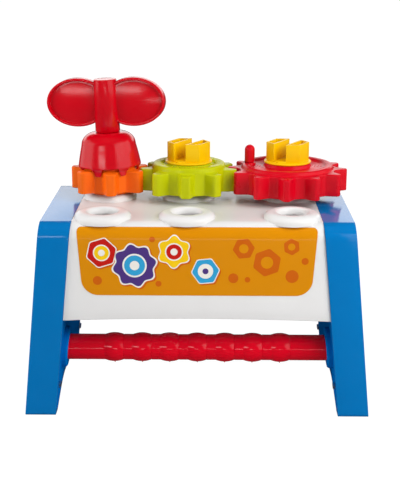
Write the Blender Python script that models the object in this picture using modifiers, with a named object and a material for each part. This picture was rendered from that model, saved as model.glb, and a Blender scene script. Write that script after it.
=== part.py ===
"""Toddler's activity bench: a white tray on blue side frames, three meshed gears on hex bolts and a wing key.

Metres, +Z up, +X to the right and +Y to the back. The origin is on the floor under the middle of the bench.
"""

import math

import bmesh
import bpy
from mathutils import Matrix, Vector

# Bench
FOOT_SPAN = 0.350
BENCH_DEPTH = 0.200
BENCH_HEIGHT = 0.200
FRAME_FACE = 0.031
FRAME_SPLAY = 0.0195
FRAME_BATTER = 0.0075
FRAME_WALL = 0.0032
FRAME_EDGE = 0.0022
FRAME_TOP_RADIUS = 0.009
FOOT_RADIUS = 0.004
FOOT_DEPTH = 0.017
ARCH_HEIGHT = 0.024
ARCH_RISE = 0.75
ARCH_RADIUS = 0.045
COVER_THICKNESS = 0.0025
POST_RADIUS = 0.0045
TRAY_SETBACK = 0.002
TRAY_WALL = 0.003
TRAY_DEPTH = 0.099
TRAY_EDGE = 0.004
SKIRT_ARCH = 0.0025
INNER_RADIUS = 0.001

# The gear row is sized by the tray's top: this is 1 mm on the standard bench and changes with its width
ROW_HALF_WIDTH = 124.5
ROW_MM = (FOOT_SPAN / 2 - FRAME_FACE - FRAME_SPLAY) / ROW_HALF_WIDTH

# Rings and sockets on the tray
RING_X = (-95.0 * ROW_MM, -10.4 * ROW_MM, 95.1 * ROW_MM)
FRONT_ROW_Y = -0.3075 * BENCH_DEPTH
BACK_ROW_Y = 0.1375 * BENCH_DEPTH
RING_RADIUS = 28.5 * ROW_MM
RING_HEIGHT = 0.0065
SOCKET_RADIUS = 14.25 * ROW_MM
SOCKET_WALL = 0.0025
SOCKET_DEPTH = 0.034

# Printed panel
PANEL_THICKNESS = 0.0006
PANEL_TOP = 0.195
PANEL_HEIGHT = 0.067
PANEL_SIDE_MARGIN = 0.0062
PANEL_DRAW = 0.0052
PANEL_TOP_RADIUS = 0.004
PANEL_BOTTOM_RADIUS = 0.017

# Cross bar
BAR_Y = -0.31 * BENCH_DEPTH
BAR_Z = 0.0615
BAR_RADIUS = 0.01325
BAR_WALL = 0.0026
BULGE_RADIUS = 0.015
BULGE_LENGTH = 0.0186
BULGE_PITCH = 0.0285
BULGE_COUNT = 7
NUB_RADIUS = 0.0022
NUB_HEIGHT = 0.002
COLLAR_RADIUS = 0.021
COLLAR_DEPTH = 0.0055
COLLAR_EDGE = 0.0012

# Gears
TEETH = {"orange": 7, "green": 9, "red": 12}
TIP_RADIUS = {"orange": 41.6 * ROW_MM, "green": 52.0 * ROW_MM, "red": 63.6 * ROW_MM}
ROOT_RADIUS = {"orange": 28.9 * ROW_MM, "green": 40.0 * ROW_MM, "red": 52.0 * ROW_MM}
TOOTH_TIP = {"orange": 10.6 * ROW_MM, "green": 10.6 * ROW_MM, "red": 8.0 * ROW_MM}
TOOTH_ROOT = {"orange": 16.6 * ROW_MM, "green": 16.6 * ROW_MM, "red": 17.0 * ROW_MM}
TOOTH_CORNER = 2.4 * ROW_MM
CORNER_STEP = 0.3
VALLEY_SHARE = 0.985
WALL_SHARE = 1.7
RED_PHASE = math.radians(-4.0)
GREEN_BACKLASH = math.radians(2.3)
ORANGE_BACKLASH = math.radians(3.0)
GEAR_LIFT = 0.003
TOOTH_HEIGHT = 0.0233
GEAR_WALL = 0.0026
HUB_RADIUS = 23.5 * ROW_MM
HUB_RISE = 0.0058
BAND_RADIUS = {"orange": 28.0 * ROW_MM, "green": 40.0 * ROW_MM, "red": 49.0 * ROW_MM}
BAND_WIDTH = {"orange": 0.0, "green": 6.5 * ROW_MM, "red": 8.5 * ROW_MM}
DISH_DEPTH = {"orange": 0.0, "green": 0.0022, "red": 0.0038}
CREST_DROP = {"orange": 0.0, "green": 0.0, "red": 0.0012}
BAND_SHOULDER = 0.0035
BAND_EDGE = 0.001
BAND_FOOT = 0.0006
DISH_SLOPE = 0.003
RIB_COUNT = 24
RIB_WIDTH = 0.0026
RIB_BITE = 0.001

# Hex bolts
HEAD_RADIUS = 22.9 * ROW_MM
HEAD_HEIGHT = 0.0195
HEAD_WALL = 0.002
SLOT_WIDTH = 11.5 * ROW_MM
SLOT_TURN = math.radians(60)
SLOT_FLOOR = 0.0015
FLANGE_RADIUS = 25.2 * ROW_MM
FLANGE_THICKNESS = 0.0022
FLANGE_EDGE = 0.0007
KEYED_RADIUS = 18.5 * ROW_MM
KEYED_LENGTH = 0.012
SHANK_LENGTH = 0.0346

# Crank on the red gear
CRANK_OFFSET = Vector((-40.2, 6.0)) * ROW_MM
KNOB_RADIUS = 0.0054
KNOB_HEIGHT = 0.0187
CRANK_PIN_RADIUS = 0.002
CRANK_BOSS_RADIUS = 0.0066
PIN_HEAD_RADIUS = 0.004
PIN_HEAD_THICKNESS = 0.0016

# Wing key, standing over the orange gear
KEY_LEAN = math.radians(2.2)
KEY_TURN = math.radians(-8.0)
BELL_HEIGHT = 0.035
BELL_MOUTH = 33.4 * ROW_MM
BELL_SHOULDER = 26.2 * ROW_MM
BELL_ROUND = 0.0075
BELL_FLARE = 0.8
BELL_WALL = 0.0022
BELL_LIFT = 0.0032
MOUTH_LEDGE = 0.006
TONGUE_DROP = 0.008
TONGUE_WIDTH = 9.2 * ROW_MM
TONGUE_REACH = 31.2 * ROW_MM
STEM_BASE_RADIUS = 13.2 * ROW_MM
STEM_TOP_RADIUS = 12.0 * ROW_MM
STEM_HEIGHT = 0.0555
STEM_ROUND = 0.0022
STEM_CROWN = 0.0004
SPIGOT_RADIUS = 9.5 * ROW_MM
SPIGOT_DEPTH = 0.006
WING_OFFSET = 30.0 * ROW_MM
WING_HALF_LENGTH = 33.5 * ROW_MM
WING_HALF_HEIGHT = 25.5 * ROW_MM
WING_THICKNESS = 0.011
WING_EDGE = 0.0014
WING_RIM = 0.0035
WING_DISH = 0.0034
WING_CENTRE = 0.0315

# Screws
SCREW_RADIUS = 0.0016
SCREW_HEAD_RADIUS = 0.0034
SCREW_HEAD_THICKNESS = 0.0022
SCREW_GRIP = 0.009
TRAY_SCREW_INSET = 0.030
TRAY_SCREW_DEPTH = 0.050
FOOT_SCREW_INSET = 0.0115
FOOT_SCREW_Z = 0.030

# Clearances
GAP = 0.0003
FIT = 0.0004
BAR_FIT = 0.0007
TONGUE_FIT = 0.0007
LOOSE = 0.0012

# Facets
WELD = 0.000002
FLAT = math.radians(0.1)
FINE = 28
RING_FACETS = 22
COARSE = 16
SMALL = 10

# Places that follow from the sizes above
LEAN = FRAME_SPLAY / BENCH_HEIGHT
TAPER = FRAME_BATTER / (BENCH_DEPTH / 2) / BENCH_HEIGHT
FRAME_OUT = FOOT_SPAN / 2
FRAME_IN = FRAME_OUT - FRAME_FACE
TRAY_BOTTOM = BENCH_HEIGHT - TRAY_DEPTH
TOOTH_BOTTOM = BENCH_HEIGHT + RING_HEIGHT + GEAR_LIFT
TOOTH_TOP = TOOTH_BOTTOM + TOOTH_HEIGHT
HUB_TOP = TOOTH_TOP + HUB_RISE
FLANGE_BOTTOM = HUB_TOP + GAP
HEAD_BOTTOM = FLANGE_BOTTOM + FLANGE_THICKNESS
HEAD_TOP = HEAD_BOTTOM + HEAD_HEIGHT
SHANK_RADIUS = SOCKET_RADIUS - FIT
SHANK_END = BENCH_HEIGHT + RING_HEIGHT - SHANK_LENGTH
BELL_BOTTOM = TOOTH_TOP + BELL_LIFT

WHITE = (0.80, 0.80, 0.80)
BLUE = (0.0, 0.17, 0.45)
RED = (0.58, 0.004, 0.02)
GREEN = (0.46, 0.52, 0.0)
ORANGE = (0.76, 0.11, 0.004)
YELLOW = (0.85, 0.42, 0.0)
STEEL = (0.55, 0.56, 0.58)


def clear_scene():
    for old in list(bpy.data.objects):
        bpy.data.objects.remove(old, do_unlink=True)


def collection(name):
    made = bpy.data.collections.new(name)
    bpy.context.scene.collection.children.link(made)
    return made


def plastic(name, colour, roughness=0.25, metallic=0.0):
    made = bpy.data.materials.new(name)
    made.use_nodes = True
    shader = made.node_tree.nodes["Principled BSDF"]
    shader.inputs["Base Color"].default_value = (*colour, 1.0)
    shader.inputs["Roughness"].default_value = roughness
    shader.inputs["Metallic"].default_value = metallic
    return made


def settled(obj):
    """Replaces the object's mesh by what its modifiers make of it."""
    bpy.context.view_layer.update()
    graph = bpy.context.evaluated_depsgraph_get()
    mesh = bpy.data.meshes.new_from_object(obj.evaluated_get(graph), depsgraph=graph)
    obj.modifiers.clear()
    obj.data = mesh
    return obj


def from_bmesh(name, bm):
    """A loose working object with its faces pointing out."""
    bmesh.ops.recalc_face_normals(bm, faces=bm.faces)
    mesh = bpy.data.meshes.new(name)
    bm.to_mesh(mesh)
    bm.free()
    obj = bpy.data.objects.new(name, mesh)
    SHOP.objects.link(obj)
    return obj


def box(name, low, high):
    bm = bmesh.new()
    bmesh.ops.create_cube(bm, size=1.0)
    low, high = Vector(low), Vector(high)
    middle, size = (low + high) / 2, high - low
    bmesh.ops.scale(bm, vec=size, verts=bm.verts)
    bmesh.ops.translate(bm, vec=middle, verts=bm.verts)
    return from_bmesh(name, bm)


def rod(name, radius, low, high, facets=COARSE, axis="Z", centre=(0.0, 0.0)):
    """A cylinder from low to high along Z or X; centre gives the other two coordinates."""
    bm = bmesh.new()
    depth = high - low
    bmesh.ops.create_cone(bm, cap_ends=True, segments=facets, radius1=radius, radius2=radius, depth=depth)
    bmesh.ops.translate(bm, vec=(0, 0, (low + high) / 2), verts=bm.verts)
    if axis == "X":
        turn = Matrix(((0, 0, 1, 0), (1, 0, 0, centre[0]), (0, 1, 0, centre[1]), (0, 0, 0, 1)))
    else:
        turn = Matrix.Translation((centre[0], centre[1], 0))
    bmesh.ops.transform(bm, matrix=turn, verts=bm.verts)
    return from_bmesh(name, bm)


def turned(name, profile, facets=FINE, closed=False):
    """Turns a profile of (radius, height) points, outer side top to bottom, about Z."""
    bm = bmesh.new()
    points = [bm.verts.new((radius, 0, height)) for radius, height in profile]
    for first, second in zip(points, points[1:]):
        bm.edges.new((first, second))
    if closed:
        bm.edges.new((points[-1], points[0]))
    mesh = bpy.data.meshes.new(name)
    bm.to_mesh(mesh)
    bm.free()
    obj = bpy.data.objects.new(name, mesh)
    SHOP.objects.link(obj)
    screw = obj.modifiers.new("turn", "SCREW")
    screw.steps = facets
    screw.render_steps = facets
    screw.use_merge_vertices = True
    screw.merge_threshold = 0.00002
    settled(obj)
    bm = bmesh.new()
    bm.from_mesh(obj.data)
    bmesh.ops.remove_doubles(bm, verts=bm.verts, dist=0.00002)
    bmesh.ops.recalc_face_normals(bm, faces=bm.faces)
    bm.to_mesh(obj.data)
    bm.free()
    return obj


def extruded(name, outlines, low, high, plane="XY"):
    """A flat outline, with any further outlines as holes, extruded from low to high across its plane."""
    curve = bpy.data.curves.new(name, "CURVE")
    curve.dimensions = "2D"
    curve.fill_mode = "BOTH"
    curve.extrude = (high - low) / 2
    for outline in outlines:
        spline = curve.splines.new("POLY")
        spline.points.add(len(outline) - 1)
        for point, (a, b) in zip(spline.points, outline):
            point.co = (a, b, 0, 1)
        spline.use_cyclic_u = True
    guide = bpy.data.objects.new(name, curve)
    SHOP.objects.link(guide)
    bpy.context.view_layer.update()
    graph = bpy.context.evaluated_depsgraph_get()
    mesh = bpy.data.meshes.new_from_object(guide.evaluated_get(graph), depsgraph=graph)
    bpy.data.objects.remove(guide, do_unlink=True)
    middle = (low + high) / 2
    if plane == "YZ":
        mesh.transform(Matrix(((0, 0, 1, middle), (1, 0, 0, 0), (0, 1, 0, 0), (0, 0, 0, 1))))
    elif plane == "XZ":
        mesh.transform(Matrix(((1, 0, 0, 0), (0, 0, 1, middle), (0, 1, 0, 0), (0, 0, 0, 1))))
    else:
        mesh.transform(Matrix.Translation((0, 0, middle)))
    bm = bmesh.new()
    bm.from_mesh(mesh)
    bmesh.ops.remove_doubles(bm, verts=bm.verts, dist=0.00002)
    bpy.data.meshes.remove(mesh)
    return from_bmesh(name, bm)


def welded(obj):
    """Closes the hairline seams that a cut can leave, and splits long faces into triangles."""
    bm = bmesh.new()
    bm.from_mesh(obj.data)
    bmesh.ops.remove_doubles(bm, verts=bm.verts, dist=WELD)
    bmesh.ops.dissolve_degenerate(bm, edges=bm.edges, dist=WELD / 2)
    bmesh.ops.triangulate(bm, faces=bm.faces)
    bm.to_mesh(obj.data)
    bm.free()


def combine(obj, others, operation):
    for other in others:
        change = obj.modifiers.new("shape", "BOOLEAN")
        change.operation = operation
        change.solver = "EXACT"
        change.object = other
        settled(obj)
        welded(obj)
        bpy.data.objects.remove(other, do_unlink=True)
    return obj


def joined(obj, *others):
    return combine(obj, others, "UNION")


def cut(obj, *others):
    return combine(obj, others, "DIFFERENCE")


def kept_inside(obj, *others):
    return combine(obj, others, "INTERSECT")


def bevelled(obj, width, segments=2, angle=50):
    edge = obj.modifiers.new("edges", "BEVEL")
    edge.width = width
    edge.segments = segments
    edge.limit_method = "ANGLE"
    edge.angle_limit = math.radians(angle)
    return settled(obj)


def finish(obj, name, material, origin=(0, 0, 0), parent=None):
    """Names a piece, gives it its material, and puts its origin at a world point."""
    bm = bmesh.new()
    bm.from_mesh(obj.data)
    bmesh.ops.dissolve_limit(bm, angle_limit=FLAT, verts=bm.verts, edges=bm.edges)
    bmesh.ops.triangulate(bm, faces=bm.faces)
    bm.to_mesh(obj.data)
    bm.free()
    obj.name = name
    obj.data.name = name
    origin = Vector(origin)
    obj.data.transform(Matrix.Translation(-origin))
    obj.location = origin
    if parent is not None:
        obj.parent = parent
        obj.location = origin - parent.location
    obj.data.materials.clear()
    obj.data.materials.append(material)
    obj.data.shade_smooth()
    obj.data.set_sharp_from_angle(angle=math.radians(35))
    SHOP.objects.unlink(obj)
    BENCH.objects.link(obj)
    return obj


def arc(centre, radius, start, end, steps):
    """Points along an arc in a plane, angles in radians."""
    return [
        (centre[0] + radius * math.cos(start + (end - start) * k / steps),
         centre[1] + radius * math.sin(start + (end - start) * k / steps))
        for k in range(steps + 1)
    ]


def rounded(corners, steps=4):
    """An outline whose corners (a, b, radius) are rounded by arcs."""
    outline = []
    for k, (a, b, radius) in enumerate(corners):
        here = Vector((a, b))
        if radius <= 0:
            outline.append((a, b))
            continue
        before = (Vector(corners[k - 1][:2]) - here).normalized()
        after = (Vector(corners[(k + 1) % len(corners)][:2]) - here).normalized()
        half = before.angle(after) / 2
        reach = radius / math.tan(half)
        centre = here + (before + after).normalized() * radius / math.sin(half)
        first = here + before * reach - centre
        last = here + after * reach - centre
        sweep = first.angle_signed(last)
        for j in range(steps + 1):
            point = centre + Matrix.Rotation(-sweep * j / steps, 2) @ first
            outline.append((point.x, point.y))
    return outline


def lean_with_frame(obj, side):
    """Leans an upright piece in toward the middle, and in toward its middle from front and back."""
    for vertex in obj.data.vertices:
        vertex.co.x -= side * LEAN * vertex.co.z
        vertex.co.y *= 1 - TAPER * vertex.co.z
    return obj


def side_outline(inset, corner):
    """The side frame from the side: straight posts, rounded shoulders and a low arch between the feet."""
    half = BENCH_DEPTH / 2
    slope = math.atan(ARCH_RISE)
    shift = inset * math.tan(slope / 2)
    foot = half - FOOT_DEPTH + shift
    crown = foot - ARCH_HEIGHT / ARCH_RISE
    top = BENCH_HEIGHT - inset
    return rounded([
        (-half + inset, inset, corner),
        (-half + inset, top, max(FRAME_TOP_RADIUS - inset, INNER_RADIUS)),
        (half - inset, top, max(FRAME_TOP_RADIUS - inset, INNER_RADIUS)),
        (half - inset, inset, corner),
        (foot, inset, 0),
        (crown, ARCH_HEIGHT + inset, ARCH_RADIUS),
        (-crown, ARCH_HEIGHT + inset, ARCH_RADIUS),
        (-foot, inset, 0),
    ])


def screw_places():
    """Places, in the upright side view, of the screws that hold a frame together."""
    foot = BENCH_DEPTH / 2 - FOOT_SCREW_INSET
    reach = BENCH_DEPTH / 2 - TRAY_SCREW_INSET
    return {
        "tray": [(-reach, BENCH_HEIGHT - TRAY_SCREW_DEPTH), (reach, BENCH_HEIGHT - TRAY_SCREW_DEPTH)],
        "foot": [(-foot, FOOT_SCREW_Z), (foot, FOOT_SCREW_Z)],
    }


def side_frame(side, name):
    """The hollow blue frame, open on its inner side, with screw posts on its outer wall."""
    shell = extruded("frame", [side_outline(0, FOOT_RADIUS)], FRAME_IN, FRAME_OUT, "YZ")
    bevelled(shell, FRAME_EDGE, segments=3)
    inside = side_outline(FRAME_WALL, INNER_RADIUS)
    cut(shell, extruded("hollow", [inside], FRAME_IN - FRAME_WALL, FRAME_OUT - FRAME_WALL, "YZ"))
    seat = FRAME_IN + COVER_THICKNESS + GAP
    wall = FRAME_OUT - FRAME_WALL / 2
    for place in screw_places()["tray"] + screw_places()["foot"]:
        joined(shell, rod("post", POST_RADIUS, seat, wall, SMALL, "X", place))
    for place in screw_places()["tray"] + screw_places()["foot"]:
        pilot = rod("pilot", SCREW_RADIUS + GAP, seat - GAP, seat + SCREW_GRIP + LOOSE, SMALL, "X", place)
        cut(shell, pilot)
    if side < 0:
        mirror_x(shell)
    lean_with_frame(shell, side)
    return finish(shell, name, BLUE_PLASTIC)


def frame_cover(side, name):
    """The plate that closes a frame's inner side, with the collar that holds the cross bar."""
    rim = side_outline(FRAME_WALL + GAP, INNER_RADIUS)
    plate = extruded("cover", [rim], FRAME_IN, FRAME_IN + COVER_THICKNESS, "YZ")
    bar = (BAR_Y / (1 - TAPER * BAR_Z), BAR_Z)
    collar_end = FRAME_IN + COVER_THICKNESS / 2
    collar = rod("collar", COLLAR_RADIUS, FRAME_IN - COLLAR_DEPTH, collar_end, FINE, "X", bar)
    bevelled(collar, COLLAR_EDGE, 1)
    joined(plate, collar)
    cut(plate, rod("socket", BAR_RADIUS + BAR_FIT, FRAME_IN - 2 * COLLAR_DEPTH, FRAME_IN, FINE, "X", bar))
    for place in screw_places()["tray"] + screw_places()["foot"]:
        low = FRAME_IN - COVER_THICKNESS
        cut(plate, rod("hole", SCREW_RADIUS + GAP, low, low + 3 * COVER_THICKNESS, SMALL, "X", place))
    if side < 0:
        mirror_x(plate)
    lean_with_frame(plate, side)
    return finish(plate, name, BLUE_PLASTIC)


def mirror_x(obj):
    """Mirrors a mesh left to right and turns its faces out again."""
    obj.data.transform(Matrix.Scale(-1, 4, Vector((1, 0, 0))))
    obj.data.flip_normals()


def screw(name, side, place, head_face, reach):
    """A pan-head screw along X, its head against head_face and its tip reach further out."""
    head = rod("head", SCREW_HEAD_RADIUS, head_face - SCREW_HEAD_THICKNESS, head_face, SMALL, "X", place)
    inside_head = head_face - SCREW_HEAD_THICKNESS / 2
    joined(head, rod("shank", SCREW_RADIUS, inside_head, head_face + reach, SMALL, "X", place))
    if side < 0:
        mirror_x(head)
    lean_with_frame(head, side)
    return finish(head, name, STEEL_SCREW)


def frame_screws(side, word):
    """Two screws hold tray, cover and frame together, and two hold the cover at the feet."""
    tips = FRAME_IN + COVER_THICKNESS + GAP + SCREW_GRIP
    for label, place in zip(("front", "rear"), screw_places()["tray"]):
        face = FRAME_IN - GAP - TRAY_WALL - GAP
        screw(f"tray_screw_{word}_{label}", side, place, face, tips - face)
    for label, place in zip(("front", "rear"), screw_places()["foot"]):
        face = FRAME_IN - GAP
        screw(f"foot_screw_{word}_{label}", side, place, face, tips - face)


def ring_places():
    return [(x, y) for y in (FRONT_ROW_Y, BACK_ROW_Y) for x in RING_X]


def ring_profile():
    """Half a ring's section, from its foot outside over the crown to its foot inside."""
    middle = (RING_RADIUS + SOCKET_RADIUS) / 2
    half = (RING_RADIUS - SOCKET_RADIUS) / 2
    foot = BENCH_HEIGHT - TRAY_WALL / 2
    crown = [
        (middle + half * math.cos(angle), BENCH_HEIGHT + RING_HEIGHT * math.sin(angle))
        for angle in (math.pi * k / 5 for k in range(6))
    ]
    return [*reversed(crown), (RING_RADIUS, foot), (SOCKET_RADIUS - FIT, foot)]


def tray():
    """The white tray: flat top, sloping skirts, six rings, each with a socket tube below it."""
    half = BENCH_DEPTH / 2 - TRAY_SETBACK
    side = FRAME_IN - GAP
    bm = bmesh.new()
    bmesh.ops.create_cube(bm, size=1.0)
    bmesh.ops.scale(bm, vec=(2 * side, 2 * half, TRAY_DEPTH), verts=bm.verts)
    bmesh.ops.translate(bm, vec=(0, 0, TRAY_BOTTOM + TRAY_DEPTH / 2), verts=bm.verts)
    for vertex in bm.verts:
        vertex.co.x *= 1 - LEAN * vertex.co.z / side
        vertex.co.y *= 1 - TAPER * vertex.co.z
    bmesh.ops.delete(bm, geom=[f for f in bm.faces if f.normal.z < -0.9], context="FACES")
    body = from_bmesh("tray", bm)
    bevelled(body, TRAY_EDGE, segments=3, angle=60)
    wall = body.modifiers.new("wall", "SOLIDIFY")
    wall.thickness = TRAY_WALL
    wall.offset = -1
    wall.use_even_offset = True
    settled(body)
    arch = 0.5 * SKIRT_ARCH + side * side / (2 * SKIRT_ARCH)
    rise = TRAY_BOTTOM + SKIRT_ARCH - arch
    span = math.asin(side * 0.97 / arch)
    bow = arc((0, rise), arch, math.pi / 2 + span, math.pi / 2 - span, 8)
    lens = [*bow, (bow[-1][0], TRAY_BOTTOM - TRAY_WALL), (bow[0][0], TRAY_BOTTOM - TRAY_WALL)]
    cut(body, extruded("bow", [lens], -BENCH_DEPTH, BENCH_DEPTH, "XZ"))
    for x, y in ring_places():
        ring = turned("ring", ring_profile(), RING_FACETS, closed=True)
        ring.data.transform(Matrix.Translation((x, y, 0)))
        outer = SOCKET_RADIUS + SOCKET_WALL
        low = BENCH_HEIGHT - SOCKET_DEPTH
        tube = rod("tube", outer, low, BENCH_HEIGHT - TRAY_WALL / 2, RING_FACETS, "Z", (x, y))
        joined(body, tube, ring)
        top = BENCH_HEIGHT + RING_HEIGHT
        cut(body, rod("bore", SOCKET_RADIUS, BENCH_HEIGHT - 2 * SOCKET_DEPTH, top, RING_FACETS, "Z", (x, y)))
    recess = panel_plate("recess", GAP, PANEL_THICKNESS, TRAY_WALL)
    cut(body, recess)
    for place in screw_places()["tray"]:
        for way in (-1, 1):
            y = place[0] * (1 - TAPER * place[1])
            low = way * (FRAME_IN - LEAN * place[1]) - 2 * TRAY_WALL
            cut(body, rod("hole", SCREW_RADIUS + GAP, low, low + 4 * TRAY_WALL, SMALL, "X", (y, place[1])))
    return finish(body, "tray", WHITE_PLASTIC)


def panel_plate(name, margin, depth, proud):
    """A plate of the printed panel's outline, along the sloping front skirt, from depth in to proud out."""
    bottom = PANEL_TOP - PANEL_HEIGHT
    top_half = FRAME_IN - LEAN * PANEL_TOP - PANEL_SIDE_MARGIN
    bottom_half = top_half - PANEL_DRAW
    corners = [
        (-bottom_half - margin, bottom - margin, PANEL_BOTTOM_RADIUS),
        (bottom_half + margin, bottom - margin, PANEL_BOTTOM_RADIUS),
        (top_half + margin, PANEL_TOP + margin, PANEL_TOP_RADIUS),
        (-top_half - margin, PANEL_TOP + margin, PANEL_TOP_RADIUS),
    ]
    plate = extruded(name, [rounded(corners, 5)], -proud, depth, "XZ")
    for vertex in plate.data.vertices:
        vertex.co.y -= (BENCH_DEPTH / 2 - TRAY_SETBACK) * (1 - TAPER * vertex.co.z)
    return plate


def printed_panel():
    plate = panel_plate("panel", 0, PANEL_THICKNESS - GAP, GAP)
    return finish(plate, "printed_panel", ORANGE_PRINT)


def bar_profile():
    """The cross bar's outline from end to end, with its round bulges."""
    end = FRAME_IN - LEAN * (BAR_Z + BAR_RADIUS) - GAP
    points = [(0.0, end), (BAR_RADIUS, end)]
    half = BULGE_LENGTH / 2
    sagitta = BULGE_RADIUS - BAR_RADIUS
    curve = (half * half + sagitta * sagitta) / (2 * sagitta)
    for k in range(BULGE_COUNT):
        centre = (BULGE_COUNT - 1 - 2 * k) / 2 * BULGE_PITCH
        for j in range(5):
            along = half * (1 - j / 2)
            out = BULGE_RADIUS - curve + math.sqrt(curve * curve - along * along)
            points.append((out, centre + along))
    return [*points, (BAR_RADIUS, -end), (0.0, -end)]


def bar_half(name, side):
    """One moulded half of the cross bar, split along an upright plane; side is -1 in front and 1 behind."""
    bar = turned("bar", bar_profile(), COARSE)
    bar.data.transform(Matrix.Rotation(math.pi / 2, 4, "Y"))
    end = FRAME_IN - LEAN * BAR_Z
    tip = -BULGE_RADIUS - NUB_HEIGHT / 2
    for k in range(BULGE_COUNT + 2):
        x = (k - (BULGE_COUNT + 1) / 2) * BULGE_PITCH
        if abs(x) < end - COLLAR_DEPTH - NUB_RADIUS:
            joined(bar, rod("nub", NUB_RADIUS, tip, -BAR_RADIUS / 2, SMALL, "Z", (x, 0)))
    cut(bar, rod("bore", BAR_RADIUS - BAR_WALL, -FRAME_OUT, FRAME_OUT, COARSE, "X", (0, 0)))
    near, far = GAP / 2, 2 * BULGE_RADIUS
    low, high = (-far, -near) if side < 0 else (near, far)
    kept_inside(bar, box("half", (-FRAME_OUT, low, -far), (FRAME_OUT, high, far)))
    bar.data.transform(Matrix.Translation((0, BAR_Y, BAR_Z)))
    return finish(bar, name, RED_PLASTIC)


def meshed_phase(driver_phase, driver, follower):
    """The follower's tooth angle, from the front toward +X, with its valley where the driver has a tooth."""
    driver_pitch = math.tau / TEETH[driver]
    follower_pitch = math.tau / TEETH[follower]
    passed = (driver_phase + math.pi / 2) / driver_pitch
    return math.remainder(math.pi / 2 - (passed + 0.5) * follower_pitch, follower_pitch)


def tooth_points(tip, root, tip_width, root_width, corner):
    """Half a tooth, from its root to the middle of its tip, as (across, outward) points."""
    reach = math.sqrt(tip * tip - (tip_width / 2 - corner) ** 2)
    foot = math.sqrt(root * root - root_width * root_width / 4)
    return [
        (-root_width / 2, foot),
        (-tip_width / 2, reach - corner),
        (-tip_width / 2 + CORNER_STEP * corner, reach - CORNER_STEP * corner),
        (-tip_width / 2 + corner, reach),
        (0.0, tip),
    ]


def gear_outline(colour, phase, inset=0.0):
    """The toothed outline, with its teeth's walls moved in by inset."""
    teeth = TEETH[colour]
    tip = TIP_RADIUS[colour] - inset
    root = ROOT_RADIUS[colour] - inset
    thinner = WALL_SHARE * inset
    half = tooth_points(tip, root, TOOTH_TIP[colour] - thinner, TOOTH_ROOT[colour] - thinner, TOOTH_CORNER)
    if inset > 0:
        half = [half[0], half[1], half[-1]]
    tooth = half + [(-across, out) for across, out in reversed(half[:-1])]
    outline = []
    for k in range(teeth):
        turn = phase + math.tau * k / teeth
        for across, out in tooth:
            outline.append((
                across * math.cos(turn) + out * math.sin(turn),
                across * math.sin(turn) - out * math.cos(turn),
            ))
        valley = turn + math.pi / teeth
        depth = root * VALLEY_SHARE
        outline.append((depth * math.sin(valley), -depth * math.cos(valley)))
    return outline


def band_profile(colour):
    """The raised band on a gear, the dish inside it and the hub in the middle, from the bore outward."""
    band = BAND_RADIUS[colour]
    floor = HUB_TOP - DISH_DEPTH[colour]
    crest = HUB_TOP - CREST_DROP[colour]
    base = TOOTH_TOP - GEAR_WALL / 2
    outside = [
        (band - BAND_SHOULDER, crest),
        (band - BAND_EDGE, crest - BAND_EDGE),
        (band, TOOTH_TOP + BAND_FOOT),
        (band, base),
    ]
    inside = [(KEYED_RADIUS, base), (KEYED_RADIUS, HUB_TOP), (FLANGE_RADIUS, HUB_TOP)]
    if DISH_DEPTH[colour] <= 0:
        return outside + inside[:2]
    dish = band - BAND_WIDTH[colour]
    inside += [(FLANGE_RADIUS + BAND_FOOT, floor), (dish, floor), (dish + DISH_SLOPE, crest)]
    return outside + inside


def hexagon(radius):
    return [(radius * math.cos(k * math.pi / 3), radius * math.sin(k * math.pi / 3)) for k in range(6)]


def gear(colour, x, phase, material, extra=None):
    """A gear, hollow below, whose hub stands on the tray's ring and whose hex recess carries the bolt."""
    body = extruded("gear", [gear_outline(colour, phase)], TOOTH_BOTTOM, TOOTH_TOP)
    hollow = extruded(
        "hollow", [gear_outline(colour, phase, GEAR_WALL)], TOOTH_BOTTOM - GEAR_WALL, TOOTH_TOP - GEAR_WALL
    )
    cut(body, hollow)
    hub = rod("hub", HUB_RADIUS, BENCH_HEIGHT + RING_HEIGHT + GAP, TOOTH_TOP - GEAR_WALL / 2, COARSE)
    joined(body, hub)
    joined(body, turned("band", band_profile(colour), FINE, closed=True))
    if extra is not None:
        extra(body)
    keyed_bottom = FLANGE_BOTTOM - KEYED_LENGTH - GAP
    recess = extruded("recess", [hexagon(KEYED_RADIUS + FIT)], keyed_bottom, HUB_TOP + GEAR_WALL)
    bore = rod("bore", SHANK_RADIUS + FIT, BENCH_HEIGHT, keyed_bottom + GEAR_WALL, FINE)
    cut(body, recess, bore)
    body.data.transform(Matrix.Translation((x, BACK_ROW_Y, 0)))
    return finish(body, f"{colour}_gear", material, origin=(x, BACK_ROW_Y, BENCH_HEIGHT))


def green_ribs(body):
    """Short radial ribs stand in the green gear's dish."""
    inner = FLANGE_RADIUS - RIB_BITE
    outer = BAND_RADIUS["green"] - BAND_WIDTH["green"] + RIB_BITE
    floor = HUB_TOP - DISH_DEPTH["green"]
    for k in range(RIB_COUNT):
        rib = box("rib", (inner, -RIB_WIDTH / 2, floor - RIB_BITE), (outer, RIB_WIDTH / 2, HUB_TOP - 2 * GAP))
        rib.data.transform(Matrix.Rotation(math.tau * k / RIB_COUNT, 4, "Z"))
        joined(body, rib)


def crank_seat(body):
    """A boss on the red gear's rim carries the crank pin."""
    top = HUB_TOP - CREST_DROP["red"]
    base = TOOTH_TOP - GEAR_WALL / 2
    joined(body, rod("boss", CRANK_BOSS_RADIUS, base, top, RING_FACETS, "Z", CRANK_OFFSET))
    low = TOOTH_TOP - 2 * GEAR_WALL
    cut(body, rod("hole", CRANK_PIN_RADIUS + GAP, low, top + GEAR_WALL, SMALL, "Z", CRANK_OFFSET))


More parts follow.
